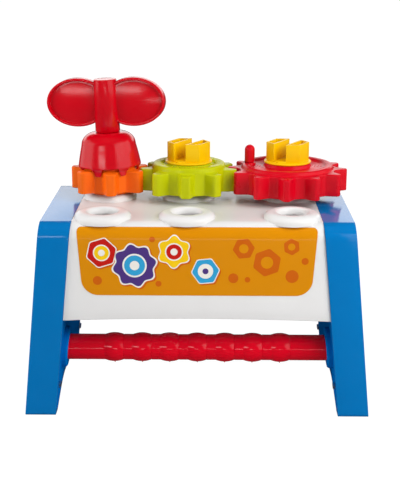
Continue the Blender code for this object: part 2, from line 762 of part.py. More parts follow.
def bolt(name, x, parent):
    """A yellow bolt: slotted hex head with two open pockets, round flange, hex collar and round shank."""
    body = turned("bolt", [
        (0.0, HEAD_BOTTOM),
        (FLANGE_RADIUS - FLANGE_EDGE, HEAD_BOTTOM),
        (FLANGE_RADIUS, HEAD_BOTTOM - FLANGE_EDGE),
        (FLANGE_RADIUS, FLANGE_BOTTOM),
        (0.0, FLANGE_BOTTOM),
    ], FINE)
    inside_flange = HEAD_BOTTOM - FLANGE_THICKNESS / 2
    joined(body, extruded("head", [hexagon(HEAD_RADIUS)], inside_flange, HEAD_TOP))
    keyed = extruded("keyed", [hexagon(KEYED_RADIUS)], FLANGE_BOTTOM - KEYED_LENGTH, inside_flange)
    shank = rod("shank", SHANK_RADIUS, SHANK_END, inside_flange, FINE)
    joined(body, keyed, shank)
    long = 3 * HEAD_RADIUS
    floor = HEAD_BOTTOM + SLOT_FLOOR
    slot = box("slot", (-long, -SLOT_WIDTH / 2, floor), (long, SLOT_WIDTH / 2, HEAD_TOP + SLOT_WIDTH))
    inner = HEAD_RADIUS - HEAD_WALL / math.cos(math.pi / 6)
    pockets = extruded("pockets", [hexagon(inner)], floor, HEAD_TOP + SLOT_WIDTH)
    edge = SLOT_WIDTH / 2 + HEAD_WALL
    web = box("web", (-long, -edge, 0), (long, edge, 1))
    turn = Matrix.Rotation(SLOT_TURN, 4, "Z")
    slot.data.transform(turn)
    web.data.transform(turn)
    cut(pockets, web)
    cut(body, slot, pockets)
    core = SHANK_RADIUS - HEAD_WALL
    cut(body, rod("core", core, SHANK_END - HEAD_WALL, FLANGE_BOTTOM - HEAD_WALL, COARSE))
    body.data.transform(Matrix.Translation((x, BACK_ROW_Y, 0)))
    return finish(body, name, YELLOW_PLASTIC, origin=(x, BACK_ROW_Y, FLANGE_BOTTOM), parent=parent)


def crank(parent):
    """The upright knob turns freely on a pin pushed up through the red gear."""
    x = RING_X[2] + CRANK_OFFSET.x
    y = BACK_ROW_Y + CRANK_OFFSET.y
    foot = HUB_TOP - CREST_DROP["red"] + GAP
    top = foot + KNOB_HEIGHT
    dome = arc((0, top - KNOB_RADIUS), KNOB_RADIUS, math.pi / 2, 0, 5)
    profile = [(max(r, 0.0), h) for r, h in dome] + [(KNOB_RADIUS, foot), (0.0, foot)]
    knob = turned("knob", profile, RING_FACETS)
    pin_top = top - KNOB_RADIUS
    cut(knob, rod("bore", CRANK_PIN_RADIUS + GAP, foot - GAP, pin_top + GAP, SMALL))
    knob.data.transform(Matrix.Translation((x, y, 0)))
    finish(knob, "crank_knob", RED_PLASTIC, origin=(x, y, foot), parent=parent)
    under = TOOTH_TOP - GEAR_WALL - GAP
    pin = rod("pin", CRANK_PIN_RADIUS, under - PIN_HEAD_THICKNESS / 2, pin_top, SMALL)
    joined(pin, rod("head", PIN_HEAD_RADIUS, under - PIN_HEAD_THICKNESS, under, SMALL))
    pin.data.transform(Matrix.Translation((x, y, 0)))
    finish(pin, "crank_pin", RED_PLASTIC, origin=(x, y, under), parent=parent)


def key_lean():
    """The loose key leans a little to the left about the middle of its mouth."""
    pivot = Matrix.Translation((RING_X[0], BACK_ROW_Y, BELL_BOTTOM))
    return pivot @ Matrix.Rotation(-KEY_LEAN, 4, "Y")


def bell_profile():
    """The bell's outside, from the middle of its top over the rounded shoulder and down the flare."""
    centre = (BELL_SHOULDER - BELL_ROUND, BELL_HEIGHT - BELL_ROUND)
    points = [(0.0, BELL_HEIGHT)] + arc(centre, BELL_ROUND, math.pi / 2, math.radians(12), 4)
    shoulder = BELL_HEIGHT - BELL_ROUND
    for share in (0.2, 0.5, 0.8, 1.0):
        flare = (BELL_MOUTH - BELL_SHOULDER) * share ** BELL_FLARE
        points.append((BELL_SHOULDER + flare + GAP, shoulder * (1 - share)))
    return [*points, (0.0, 0.0)]


def tongue_profile(inner):
    """A tongue's section: its foot draws in, clear of the next gear's teeth."""
    level = TOOTH_TOP - BELL_BOTTOM
    return [
        (inner, -TONGUE_DROP),
        (TONGUE_REACH, -TONGUE_DROP),
        (TONGUE_REACH, level),
        (BELL_MOUTH - GAP, 0.0),
        (BELL_MOUTH - GAP, BELL_WALL),
        (inner, BELL_WALL),
    ]


def key_bell(phase):
    """The key's bell: a hex socket for the bolt head, and a mouth whose tongues drop between the teeth."""
    bell = turned("bell", bell_profile(), FINE)
    inner = ROOT_RADIUS["orange"] + TONGUE_FIT
    for k in range(TEETH["orange"]):
        angle = phase + (k + 0.5) * math.tau / TEETH["orange"] - math.pi / 2
        tongue = extruded("tongue", [tongue_profile(inner)], -TONGUE_WIDTH / 2, TONGUE_WIDTH / 2, "XZ")
        tongue.data.transform(Matrix.Rotation(angle, 4, "Z"))
        joined(bell, tongue)
    swing = math.tan(KEY_LEAN)
    ceiling = HEAD_TOP - BELL_BOTTOM + GAP + HEAD_RADIUS * swing
    ledge = HEAD_BOTTOM + LOOSE - BELL_BOTTOM + MOUTH_LEDGE
    socket = extruded("socket", [hexagon(HEAD_RADIUS + LOOSE + HEAD_HEIGHT * swing / 2)], 0, ceiling)
    mouth = turned("mouth", [
        (0.0, ledge),
        (FLANGE_RADIUS + LOOSE, ledge),
        (inner, BELL_WALL),
        (inner, -2 * TONGUE_DROP),
        (0.0, -2 * TONGUE_DROP),
    ], FINE)
    spigot = rod("spigot", SPIGOT_RADIUS + GAP, BELL_HEIGHT - SPIGOT_DEPTH - GAP, BELL_HEIGHT + BELL_WALL)
    cut(bell, socket, mouth, spigot)
    bell.data.transform(key_lean())
    return finish(bell, "key_bell", RED_PLASTIC, origin=(RING_X[0], BACK_ROW_Y, BELL_BOTTOM))


def key_handle(bell):
    """The key's tapered stem with two oval wings, dished on both faces, plugged into the bell."""
    foot = BELL_HEIGHT + GAP
    top = foot + STEM_HEIGHT
    stem = turned("stem", [
        (0.0, top),
        (STEM_TOP_RADIUS - STEM_ROUND, top - STEM_CROWN),
        (STEM_TOP_RADIUS, top - STEM_ROUND),
        (STEM_BASE_RADIUS, foot),
        (SPIGOT_RADIUS, foot),
        (SPIGOT_RADIUS, foot - SPIGOT_DEPTH),
        (0.0, foot - SPIGOT_DEPTH),
    ], FINE)
    middle = foot + WING_CENTRE
    for way in (-1, 1):
        oval = [
            (way * WING_OFFSET + WING_HALF_LENGTH * math.cos(math.tau * k / FINE),
             middle + WING_HALF_HEIGHT * math.sin(math.tau * k / FINE))
            for k in range(FINE)
        ]
        wing = extruded("wing", [oval], -WING_THICKNESS / 2, WING_THICKNESS / 2, "XZ")
        bevelled(wing, WING_EDGE, 1, 60)
        for face in (-1, 1):
            bm = bmesh.new()
            bmesh.ops.create_uvsphere(bm, u_segments=20, v_segments=10, radius=1.0)
            size = (WING_HALF_LENGTH - WING_RIM, WING_DISH, WING_HALF_HEIGHT - WING_RIM)
            bmesh.ops.scale(bm, vec=size, verts=bm.verts)
            place = (way * WING_OFFSET, face * WING_THICKNESS / 2, middle)
            bmesh.ops.translate(bm, vec=place, verts=bm.verts)
            cut(wing, from_bmesh("dish", bm))
        near, far = sorted((way * STEM_TOP_RADIUS / 3, way * (WING_OFFSET + 2 * WING_HALF_LENGTH)))
        kept_inside(wing, box("outboard", (near, -WING_THICKNESS, foot), (far, WING_THICKNESS, 2 * top)))
        joined(stem, wing)
    stem.data.transform(key_lean() @ Matrix.Rotation(KEY_TURN, 4, "Z"))
    place = key_lean() @ Vector((0, 0, foot))
    return finish(stem, "key_handle", RED_PLASTIC, origin=place, parent=bell)


def build():
    for side, word in ((-1, "left"), (1, "right")):
        side_frame(side, f"{word}_frame")
        frame_cover(side, f"{word}_frame_cover")
        frame_screws(side, word)
    tray()
    printed_panel()
    bar_half("bar_front_half", -1)
    bar_half("bar_rear_half", 1)
    green_phase = meshed_phase(RED_PHASE, "red", "green") + GREEN_BACKLASH
    orange_phase = meshed_phase(green_phase, "green", "orange") + ORANGE_BACKLASH
    red = gear("red", RING_X[2], RED_PHASE, RED_PLASTIC, crank_seat)
    green = gear("green", RING_X[1], green_phase, GREEN_PLASTIC, green_ribs)
    orange = gear("orange", RING_X[0], orange_phase, ORANGE_PLASTIC)
    bolt("red_gear_bolt", RING_X[2], red)
    bolt("green_gear_bolt", RING_X[1], green)
    bolt("orange_gear_bolt", RING_X[0], orange)
    crank(red)
    key_handle(key_bell(orange_phase))


clear_scene()
BENCH = collection("activity_bench")
SHOP = collection("workshop")
WHITE_PLASTIC = plastic("white plastic", WHITE)
BLUE_PLASTIC = plastic("blue plastic", BLUE)
RED_PLASTIC = plastic("red plastic", RED)
GREEN_PLASTIC = plastic("green plastic", GREEN)
ORANGE_PLASTIC = plastic("orange plastic", ORANGE)
YELLOW_PLASTIC = plastic("yellow plastic", YELLOW)
ORANGE_PRINT = plastic("orange printed panel", ORANGE, 0.35)
STEEL_SCREW = plastic("zinc-plated steel", STEEL, 0.35, 1.0)
build()
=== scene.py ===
"""Looks of the toddler's gear bench: fine moulded surfaces, finishes, light and camera."""

from math import atan, atan2, copysign, cos, hypot, pi, radians, remainder, sin, sqrt, tan, tau

import bmesh
import bpy
import numpy as np
from mathutils import Matrix, Vector


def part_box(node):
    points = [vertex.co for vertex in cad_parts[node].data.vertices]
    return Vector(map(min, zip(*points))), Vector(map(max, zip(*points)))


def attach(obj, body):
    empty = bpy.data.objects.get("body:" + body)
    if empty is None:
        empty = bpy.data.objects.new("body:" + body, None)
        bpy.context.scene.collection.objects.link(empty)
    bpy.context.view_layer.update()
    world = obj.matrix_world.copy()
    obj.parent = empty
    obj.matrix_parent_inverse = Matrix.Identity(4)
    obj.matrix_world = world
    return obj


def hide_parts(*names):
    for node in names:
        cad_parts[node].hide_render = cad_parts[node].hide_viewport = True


# Bench
FOOT_SPAN = 0.350
BENCH_DEPTH = 0.200
BENCH_HEIGHT = 0.200
FRAME_FACE = 0.031
FRAME_SPLAY = 0.0195
FRAME_BATTER = 0.0075
FRAME_WALL = 0.0032
FRAME_EDGE = 0.0024
TOP_CURVE = 0.016
HOLLOW_RADIUS = 0.009
HOLLOW_FOOT_RADIUS = 0.001
FOOT_RADIUS = 0.004
FOOT_DEPTH = 0.017
ARCH_HEIGHT = 0.024
ARCH_RISE = 0.75
ARCH_RADIUS = 0.045
ARCH_FOOT_RADIUS = 0.0015
TRAY_SETBACK = 0.002
TRAY_WALL = 0.003
TRAY_DEPTH = 0.099
TRAY_LIP = 0.0009
SKIRT_ARCH = 0.0025
SKIRT_ARCH_REACH = 0.02

# Rings and sockets
FRONT_ROW_Y = -0.0615
RING_RADIUS = 0.0285
RING_HEIGHT = 0.0065
RING_CREST = 0.0186
RING_SUNK = 0.0028
RING_BREADTH = 0.8
RING_FULLNESS = 0.9
SOCKET_RADIUS = 0.01425
SOCKET_WALL = 0.0025
SOCKET_DEPTH = 0.034
BORE_TOP = 0.21
BORE_FOOT = 0.15

# Printed panel; the parts of a motif are shares of its size
PANEL_TOP = 0.1962
PANEL_BOTTOM = 0.128
PANEL_SIDE_MARGIN = 0.0062
PANEL_DRAW = 0.0052
PANEL_TOP_RADIUS = 0.004
PANEL_BOTTOM_RADIUS = 0.017
FILM_LIFT = 0.0003
INK = 0.00004
FIRST_LAYER = 0.6
SHADE_SHIFT = 0.0014
SHADE_SHARE = 1.09
BORDER_SHARE = 1.08
RING_SHARE = 0.56
FACE_SHARE = 0.48
HEART_SHARE = 0.22
NUT_CORNER_SHARE = 0.22
NUT_HOLE_SHARE = 0.42

# Cross bar
BAR_Y = -0.062
BAR_Z = 0.0615
BAR_RADIUS = 0.01325
BAR_WALL = 0.0026
BULGE_RADIUS = 0.015
BULGE_LENGTH = 0.0186
BULGE_PITCH = 0.0285
BULGE_COUNT = 7
NUB_HEIGHT = 0.002
PLAIN_NUB_SHARE = 0.6
NUB_MARGIN = 0.008
# A nub's side below its tip: radius, and height over the bar's face
NUB_SIDE = ((0.0011, 0.0004), (0.0018, 0.0012), (0.0, 0.003))

# Gears
TEETH = {"orange": 7, "green": 9, "red": 12}
TOOTH_SAMPLES = {"orange": 56, "green": 64, "red": 44}
TIP_RADIUS = {"orange": 0.0416, "green": 0.0520, "red": 0.0636}
ROOT_RADIUS = {"orange": 0.0289, "green": 0.0400, "red": 0.0520}
TOOTH_TIP = {"orange": 0.0106, "green": 0.0106, "red": 0.0080}
TOOTH_ROOT = {"orange": 0.0166, "green": 0.0166, "red": 0.0170}
TOOTH_CORNER = 0.0024
CORNER_SHARE = 0.3
VALLEY_SHARE = 0.985
RED_PHASE = radians(-4.0)
GREEN_BACKLASH = radians(2.3)
ORANGE_BACKLASH = radians(3.0)
GEAR_LIFT = 0.003
GEAR_WALL = 0.0026
TOOTH_HEIGHT = 0.0233
TOOTH_EDGE = 0.001
TOOTH_CROWN = 0.0015
TOOTH_BLEND = 0.004
HUB_RADIUS = 0.0235
HUB_RISE = 0.0058
HUB_FACE = 0.0252

# Drums and dishes of the gears
BAND_RADIUS = {"orange": 0.0280, "green": 0.0393, "red": 0.0490}
DRUM_LIP = {"orange": 0.0016, "green": 0.0028, "red": 0.0026}
DRUM_LEAN = 0.0005
DRUM_FILLET = 0.0011
RED_CREST_DROP = 0.0012
GROOVE_RADIUS = 0.0430
RED_DISH_RADIUS = 0.0416
RED_DISH_DEPTH = 0.0026
# The red dish's side: distance inward, and depth
RED_DISH_SIDE = ((0.0, 0.0), (0.0004, 0.0006), (0.0010, 0.0018), (0.0020, 0.0024), (0.0041, RED_DISH_DEPTH))
GREEN_DISH_DEPTH = 0.0021
# How the dishes meet the hub: distance outward from its face, and height over the dish
RED_DISH_FOOT = ((0.0006, 0.0), (0.0001, 0.0004))
GREEN_DISH_FOOT = ((0.0010, 0.0), (0.0002, 0.0003))
# The ribbed wall's upper edge: distance outward, and depth
RIB_EDGE = ((0.0016, 0.0), (0.0009, 0.0001), (0.0004, 0.0004), (0.0, 0.0012))
RIB_COUNT = 24
RIB_RADIUS = 0.0272
RIB_DEPTH = 0.0058
RIB_SHARPNESS = 1.6
PIT_COUNT = 7
PIT_RADIUS = 0.0011
PIT_DEPTH = 0.0014
PIT_FOOT_RADIUS = 0.0008
PIT_FOOT_RISE = 0.0002
PIT_SPREAD = 0.0038
PIT_TURN = 0.3
ROSETTE_X = 0.0325
ROSETTE_Y = -0.002

# Hex bolts
HEAD_RADIUS = 0.0229
HEAD_HEIGHT = 0.0195
HEAD_WALL = 0.002
SLOT_WIDTH = 0.0135
SLOT_TURN = radians(60)
SLOT_FLOOR = 0.0015
SLOT_FLOOR_INSET = 0.0002
FLANGE_RADIUS = 0.0252
FLANGE_THICKNESS = 0.0022
FLANGE_SLOPE = 0.0035
KEYED_RADIUS = 0.0185
KEYED_LENGTH = 0.012
KEYED_CORNER = 0.0015
SHANK_END = 0.1719
SHANK_TAPER = 0.0012
SHANK_TAPER_RISE = 0.0014

# Crank
CRANK_BOSS_RADIUS = 0.0066
CRANK_BORE_RADIUS = 0.0023

# Key's bell
KEY_LEAN = radians(2.2)
KEY_TURN = radians(-8.0)
BELL_SAMPLES = 560
BELL_LIFT = 0.0032
BELL_HEIGHT = 0.035
BELL_TOP_RADIUS = 0.012
BELL_MOUTH = 0.0334
BELL_SHOULDER = 0.0288
BELL_LIP = 0.0009
BELL_FLARE = 1.25
SHOULDER_RISE = 0.013
SHOULDER_REACH = 0.015
SHOULDER_END = radians(10)
FLARE_START = 0.002
TONGUE_START = 0.004
TONGUE_DROP = 0.008
TONGUE_WIDTH = 0.0092
TONGUE_SIDE = 0.0042
TONGUE_REACH = 0.0312
BELL_ROOM = 0.0007
BELL_ROOM_HEIGHT = 0.003
BELL_CEILING = 0.0295
# The walls round the bolt head: distance from the head's corners, and height
BELL_SEAT = ((0.0030, 0.0125), (0.0017, 0.0140), (0.0015, BELL_CEILING))

# Key's handle
STEM_BASE_RADIUS = 0.0132
STEM_TOP_RADIUS = 0.012
STEM_HEIGHT = 0.0555
STEM_TOP_EDGE = 0.0012
SPIGOT_RADIUS = 0.0095
SPIGOT_DEPTH = 0.006
WING_SAMPLES = 128
WING_OFFSET = 0.030
WING_HALF_LENGTH = 0.0335
WING_HALF_HEIGHT = 0.0255
WING_THICKNESS = 0.011
WING_RIM = 0.0035
WING_ROLL = 0.0014
WING_DISH = 0.003
WING_SWELL = 0.0026
WING_CENTRE = 0.0315
WING_ROOT_SHARE = 0.4
OUTBOARD_DEPTH = 0.1
OUTBOARD_HEIGHT = 0.2
# The rim's inner edge: distance back from the face, and depth
WING_RIM_EDGE = ((0.0013, 0.0), (0.0009, 0.0002), (0.0004, WING_DISH))

# Fits and small sizes that several parts share
GAP = 0.0003
FIT = 0.0004
LAP = 0.001
HAIR = 0.0001
FINE_STEP = 0.0004
THIN_EDGE = 0.0003
FINE_EDGE = 0.0005
SMALL_EDGE = 0.0006
SOFT_EDGE = 0.0008

LEAN = FRAME_SPLAY / BENCH_HEIGHT
TAPER = FRAME_BATTER / (BENCH_DEPTH / 2) / BENCH_HEIGHT
FRAME_OUT = FOOT_SPAN / 2
FRAME_IN = FRAME_OUT - FRAME_FACE
TRAY_BOTTOM = BENCH_HEIGHT - TRAY_DEPTH
TOOTH_BOTTOM = BENCH_HEIGHT + RING_HEIGHT + GEAR_LIFT
TOOTH_TOP = TOOTH_BOTTOM + TOOTH_HEIGHT
HUB_TOP = TOOTH_TOP + HUB_RISE
FLANGE_BOTTOM = HUB_TOP + GAP
HEAD_BOTTOM = FLANGE_BOTTOM + FLANGE_THICKNESS
HEAD_TOP = HEAD_BOTTOM + HEAD_HEIGHT
SHANK_RADIUS = SOCKET_RADIUS - FIT
BELL_BOTTOM = TOOTH_TOP + BELL_LIFT

# Camera, fitted to the photograph: 400 by 500 pixels
PICTURE_WIDTH = 400
FOCAL_PIXELS = 1100.0
SENSOR_WIDTH = 36.0
CAMERA_PLACE = Vector((0.0139, -1.1304, 0.4724))
CAMERA_PITCH = radians(16.0)
CAMERA_YAW = radians(-0.6)
CAMERA_ROLL = radians(0.1)

# Surroundings
WORLD_SEEN = 1.0
WORLD_LIGHT = 0.3
WORLD_SHEEN = 0.07
FLOOR_RADIUS = 30.0
FLOOR_DROP = 0.0002
FLOOR_TONE = 0.66
FLOOR_ROUGHNESS = 0.8
FLOOR_GLOW = 1.18
FLOOR_GLOW_SHARE = 0.84
FLOOR_SHEEN = 0.06
BENCH_MIDDLE = (0, 0, 0.15)

# Patterns in the moulded surfaces: their fineness, the levels that count, and the depth of the raised ones
TINT_GRAIN = 38
TINT_SPAN = (0.3, 0.7)
SHEEN_GRAIN = 60
SHEEN_SPAN = (0.35, 0.75)
SCUFF_GRAIN = 240
SCUFF_SPAN = (0.62, 0.8)
SCUFF_STRETCH = (1, 0.16, 1)
SCUFF_SHARE = 1.5
SKIN_GRAIN = 1400
SKIN_DEPTH = 0.0004
SWELL_GRAIN = 26
SWELL_DEPTH = 0.001

# Meshes
ROUND = 96
QUARTER = pi / 2
WELD = 0.000004
EMPTY = 0.000002
BEVEL_FROM = radians(40)
PLANES = {
    "XY": Matrix.Identity(3),
    "YZ": Matrix(((0, 0, 1), (1, 0, 0), (0, 1, 0))),
    "XZ": Matrix(((1, 0, 0), (0, 0, 1), (0, 1, 0))),
}


def middle(name):
    """The middle of a frame node's box."""
    low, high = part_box(name)
    return (low + high) / 2


def srgb(red, green, blue):
    """A colour given as it looks on a screen, 0 to 255, as linear light."""
    def linear(level):
        level /= 255
        return level / 12.92 if level <= 0.04045 else ((level + 0.055) / 1.055) ** 2.4
    return (linear(red), linear(green), linear(blue))


# Materials


def node(tree, kind, **values):
    """A new shader node, with values for its inputs by name."""
    made = tree.nodes.new(f"ShaderNode{kind}")
    for name, value in values.items():
        made.inputs[name.replace("_", " ")].default_value = value
    return made


def moulded(name, colour, roughness=0.2, mottling=0.03, texture=0.012, swell=0.03, shine=0.5):
    """Moulded plastic: faint uneven colour, a rolling sheen, fine skin texture and light handling scuffs."""
    made = bpy.data.materials.new(name)
    made.use_nodes = True
    tree = made.node_tree
    link = tree.links.new
    shader = tree.nodes["Principled BSDF"]
    place = node(tree, "TexCoord").outputs["Object"]

    def noise(scale, detail, source=place):
        grain = node(tree, "TexNoise", Scale=scale, Detail=detail)
        link(source, grain.inputs["Vector"])
        return grain.outputs["Fac"]

    def spread(source, span, low, high):
        ramp = node(tree, "MapRange", From_Min=span[0], From_Max=span[1], To_Min=low, To_Max=high)
        link(source, ramp.inputs["Value"])
        return ramp.outputs["Result"]

    def raised(strength, depth, height):
        bump = node(tree, "Bump", Strength=strength, Distance=depth)
        link(height, bump.inputs["Height"])
        return bump

    tint = node(tree, "Mix")
    tint.data_type = "RGBA"
    tint.inputs["A"].default_value = (*[c * (1 - mottling) for c in colour], 1)
    tint.inputs["B"].default_value = (*[min(1, c * (1 + mottling)) for c in colour], 1)
    link(spread(noise(TINT_GRAIN, 4), TINT_SPAN, 0, 1), tint.inputs["Factor"])
    link(tint.outputs["Result"], shader.inputs["Base Color"])
    stretched = node(tree, "Mapping", Scale=SCUFF_STRETCH)
    link(place, stretched.inputs["Vector"])
    scuffs = noise(SCUFF_GRAIN, 3, stretched.outputs["Vector"])
    rolling = spread(noise(SHEEN_GRAIN, 5), SHEEN_SPAN, roughness - mottling, roughness + mottling)
    sheen = node(tree, "Math")
    sheen.operation = "ADD"
    link(rolling, sheen.inputs[0])
    link(spread(scuffs, SCUFF_SPAN, 0, SCUFF_SHARE * mottling), sheen.inputs[1])
    link(sheen.outputs["Value"], shader.inputs["Roughness"])
    skin = raised(texture, SKIN_DEPTH, noise(SKIN_GRAIN, 3))
    waves = raised(swell, SWELL_DEPTH, noise(SWELL_GRAIN, 2))
    link(skin.outputs["Normal"], waves.inputs["Normal"])
    link(waves.outputs["Normal"], shader.inputs["Normal"])
    shader.inputs["Specular IOR Level"].default_value = shine
    return made


def plated(name, colour):
    """Zinc-plated steel with a fine brushed grain."""
    made = moulded(name, colour, 0.32, 0.08, 0.03)
    made.node_tree.nodes["Principled BSDF"].inputs["Metallic"].default_value = 1.0
    return made


# Mesh helpers


def added(name, data):
    """A new object in the scene."""
    obj = bpy.data.objects.new(name, data)
    bpy.context.scene.collection.objects.link(obj)
    return obj


def piece(name, mesh, material, body, replaced=(), angle=38):
    """Adds a finished piece to the scene, riding on a body."""
    obj = added(name, mesh)
    mesh.name = name
    mesh.materials.clear()
    mesh.materials.append(material)
    mesh.shade_smooth()
    mesh.set_sharp_from_angle(angle=radians(angle))
    if replaced:
        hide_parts(*replaced)
    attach(obj, body)


def points(x, y, z):
    """Rows of x, y and z, where a single value stands for all rows."""
    return np.column_stack(np.broadcast_arrays(x, y, z))


def loft(rings, loop_rings=False, closed=True):
    """A skin over rings of points, each a closed loop unless closed is False.

    Where the rings loop but aren't closed themselves, flat faces close the skin at their ends.
    """
    rings = np.asarray(rings, float)
    count, size = rings.shape[:2]
    faces = []
    for k in range(count if loop_rings else count - 1):
        here, there = k * size, ((k + 1) % count) * size
        for j in range(size if closed else size - 1):
            after = (j + 1) % size
            faces.append((here + j, here + after, there + after, there + j))
    if loop_rings and not closed:
        faces += [tuple(range(end, count * size, size)) for end in (0, size - 1)]
    mesh = bpy.data.meshes.new("loft")
    mesh.from_pydata(rings.reshape(-1, 3).tolist(), [], faces)
    return tidied(mesh)


def tidied(mesh):
    """Welds doubled points, drops empty faces and turns the rest outward."""
    bm = bmesh.new()
    bm.from_mesh(mesh)
    bmesh.ops.remove_doubles(bm, verts=bm.verts, dist=WELD)
    bmesh.ops.dissolve_degenerate(bm, edges=bm.edges, dist=EMPTY)
    bmesh.ops.recalc_face_normals(bm, faces=bm.faces)
    bm.to_mesh(mesh)
    bm.free()
    return mesh


def lathe(profile, segments=ROUND, centre=(0, 0), looped=False):
    """Turns (radius, height) points about an upright axis."""
    turn = np.arange(segments) * tau / segments
    x, y = centre
    across, back = np.cos(turn), np.sin(turn)
    rings = [points(x + radius * across, y + radius * back, height) for radius, height in profile]
    return loft(rings, loop_rings=looped)


def merged(*meshes):
    """Several meshes as one."""
    bm = bmesh.new()
    for mesh in meshes:
        bm.from_mesh(mesh)
    result = bpy.data.meshes.new("merged")
    bm.to_mesh(result)
    bm.free()
    return result


def extruded(outlines, low, high, plane="XY", edge=0.0, segments=3):
    """A flat outline, with any further outlines as holes, extruded across its plane, with rounded edges."""
    curve = bpy.data.curves.new("outline", "CURVE")
    curve.dimensions = "2D"
    curve.fill_mode = "BOTH"
    curve.extrude = (high - low) / 2
    for outline in outlines:
        spline = curve.splines.new("POLY")
        spline.points.add(len(outline) - 1)
        for point, (a, b) in zip(spline.points, outline):
            point.co = (a, b, 0, 1)
        spline.use_cyclic_u = True
    guide = added("outline", curve)
    mesh = evaluated(guide)
    bpy.data.objects.remove(guide, do_unlink=True)
    centre = (low + high) / 2
    mesh.transform(PLANES[plane].to_4x4() @ Matrix.Translation((0, 0, centre)))
    tidied(mesh)
    return softened(mesh, edge, segments) if edge > 0 else mesh


def evaluated(obj):
    """A curve's or a modified object's mesh."""
    bpy.context.view_layer.update()
    graph = bpy.context.evaluated_depsgraph_get()
    return bpy.data.meshes.new_from_object(obj.evaluated_get(graph), depsgraph=graph)


def softened(mesh, width, segments):
    """Rounds the sharp edges."""
    obj = added("soft", mesh)
    bevel = obj.modifiers.new("edges", "BEVEL")
    bevel.width = width
    bevel.segments = segments
    bevel.limit_method = "ANGLE"
    bevel.angle_limit = BEVEL_FROM
    result = evaluated(obj)
    bpy.data.objects.remove(obj, do_unlink=True)
    return result


def cut(mesh, *cutters, operation="DIFFERENCE"):
    """A mesh after the cutters have been taken from it, or joined or crossed with it."""
    obj = added("cut", mesh)
    for cutter in cutters:
        other = added("cutter", cutter)
        change = obj.modifiers.new("shape", "BOOLEAN")
        change.operation = operation
        change.solver = "EXACT"
        change.object = other
        result = evaluated(obj)
        obj.modifiers.clear()
        obj.data = result
        bpy.data.objects.remove(other, do_unlink=True)
    result = obj.data
    bpy.data.objects.remove(obj, do_unlink=True)
    return tidied(result)


def arc(centre, radius, start, end, steps):
    """Points on a round arc, from one angle to another."""
    angles = [start + (end - start) * k / steps for k in range(steps + 1)]
    return [(centre[0] + radius * cos(a), centre[1] + radius * sin(a)) for a in angles]


def rounded(corners, steps=10):
    """An outline whose corners (a, b, radius) are rounded by arcs."""
    outline = []
    for k, (a, b, radius) in enumerate(corners):
        here = Vector((a, b))
        if radius <= 0:
            outline.append((a, b))
            continue
        before = (Vector(corners[k - 1][:2]) - here).normalized()
        after = (Vector(corners[(k + 1) % len(corners)][:2]) - here).normalized()
        half = before.angle(after) / 2
        reach = radius / tan(half)
        centre = here + (before + after).normalized() * radius / sin(half)
        first = here + before * reach - centre
        last = here + after * reach - centre
        sweep = first.angle_signed(last)
        for j in range(steps + 1):
            point = centre + Matrix.Rotation(-sweep * j / steps, 2) @ first
            outline.append((point.x, point.y))
    return outline


def sided(mesh, side):
    """A right-hand mesh mirrored where the side is the left, and leaned as the frames lean."""
    if side < 0:
        mesh.transform(Matrix.Scale(-1, 4, Vector((1, 0, 0))))
        mesh.flip_normals()
    for vertex in mesh.vertices:
        vertex.co.x -= side * LEAN * vertex.co.z
        vertex.co.y *= 1 - TAPER * vertex.co.z
    return mesh


# Side frames


def side_outline(inset, corner, shoulder):
    """The side frame from the side: posts, broad rounded shoulders and a low arch between the feet."""
    half = BENCH_DEPTH / 2
    shift = inset * tan(atan(ARCH_RISE) / 2)
    foot = half - FOOT_DEPTH + shift
    crown = foot - ARCH_HEIGHT / ARCH_RISE
    top = BENCH_HEIGHT - inset
    return rounded([
        (-half + inset, inset, corner),
        (-half + inset, top, shoulder),
        (half - inset, top, shoulder),
        (half - inset, inset, corner),
        (foot, inset, ARCH_FOOT_RADIUS),
        (crown, ARCH_HEIGHT + inset, ARCH_RADIUS),
        (-crown, ARCH_HEIGHT + inset, ARCH_RADIUS),
        (-foot, inset, ARCH_FOOT_RADIUS),
    ], 14)


def side_frame(side, word):
    """A hollow blue side frame with softly rounded edges."""
    shell = extruded([side_outline(0, FOOT_RADIUS, TOP_CURVE)], FRAME_IN, FRAME_OUT, "YZ", FRAME_EDGE, 6)
    inside = side_outline(FRAME_WALL, HOLLOW_FOOT_RADIUS, HOLLOW_RADIUS)
    hollow = extruded([inside], FRAME_IN - FRAME_WALL, FRAME_OUT - FRAME_WALL, "YZ")
    shell = sided(cut(shell, hollow), side)
    piece(f"{word}_frame_shell", shell, BLUE, "bench", (f"{word}_frame",), 30)


# Tray


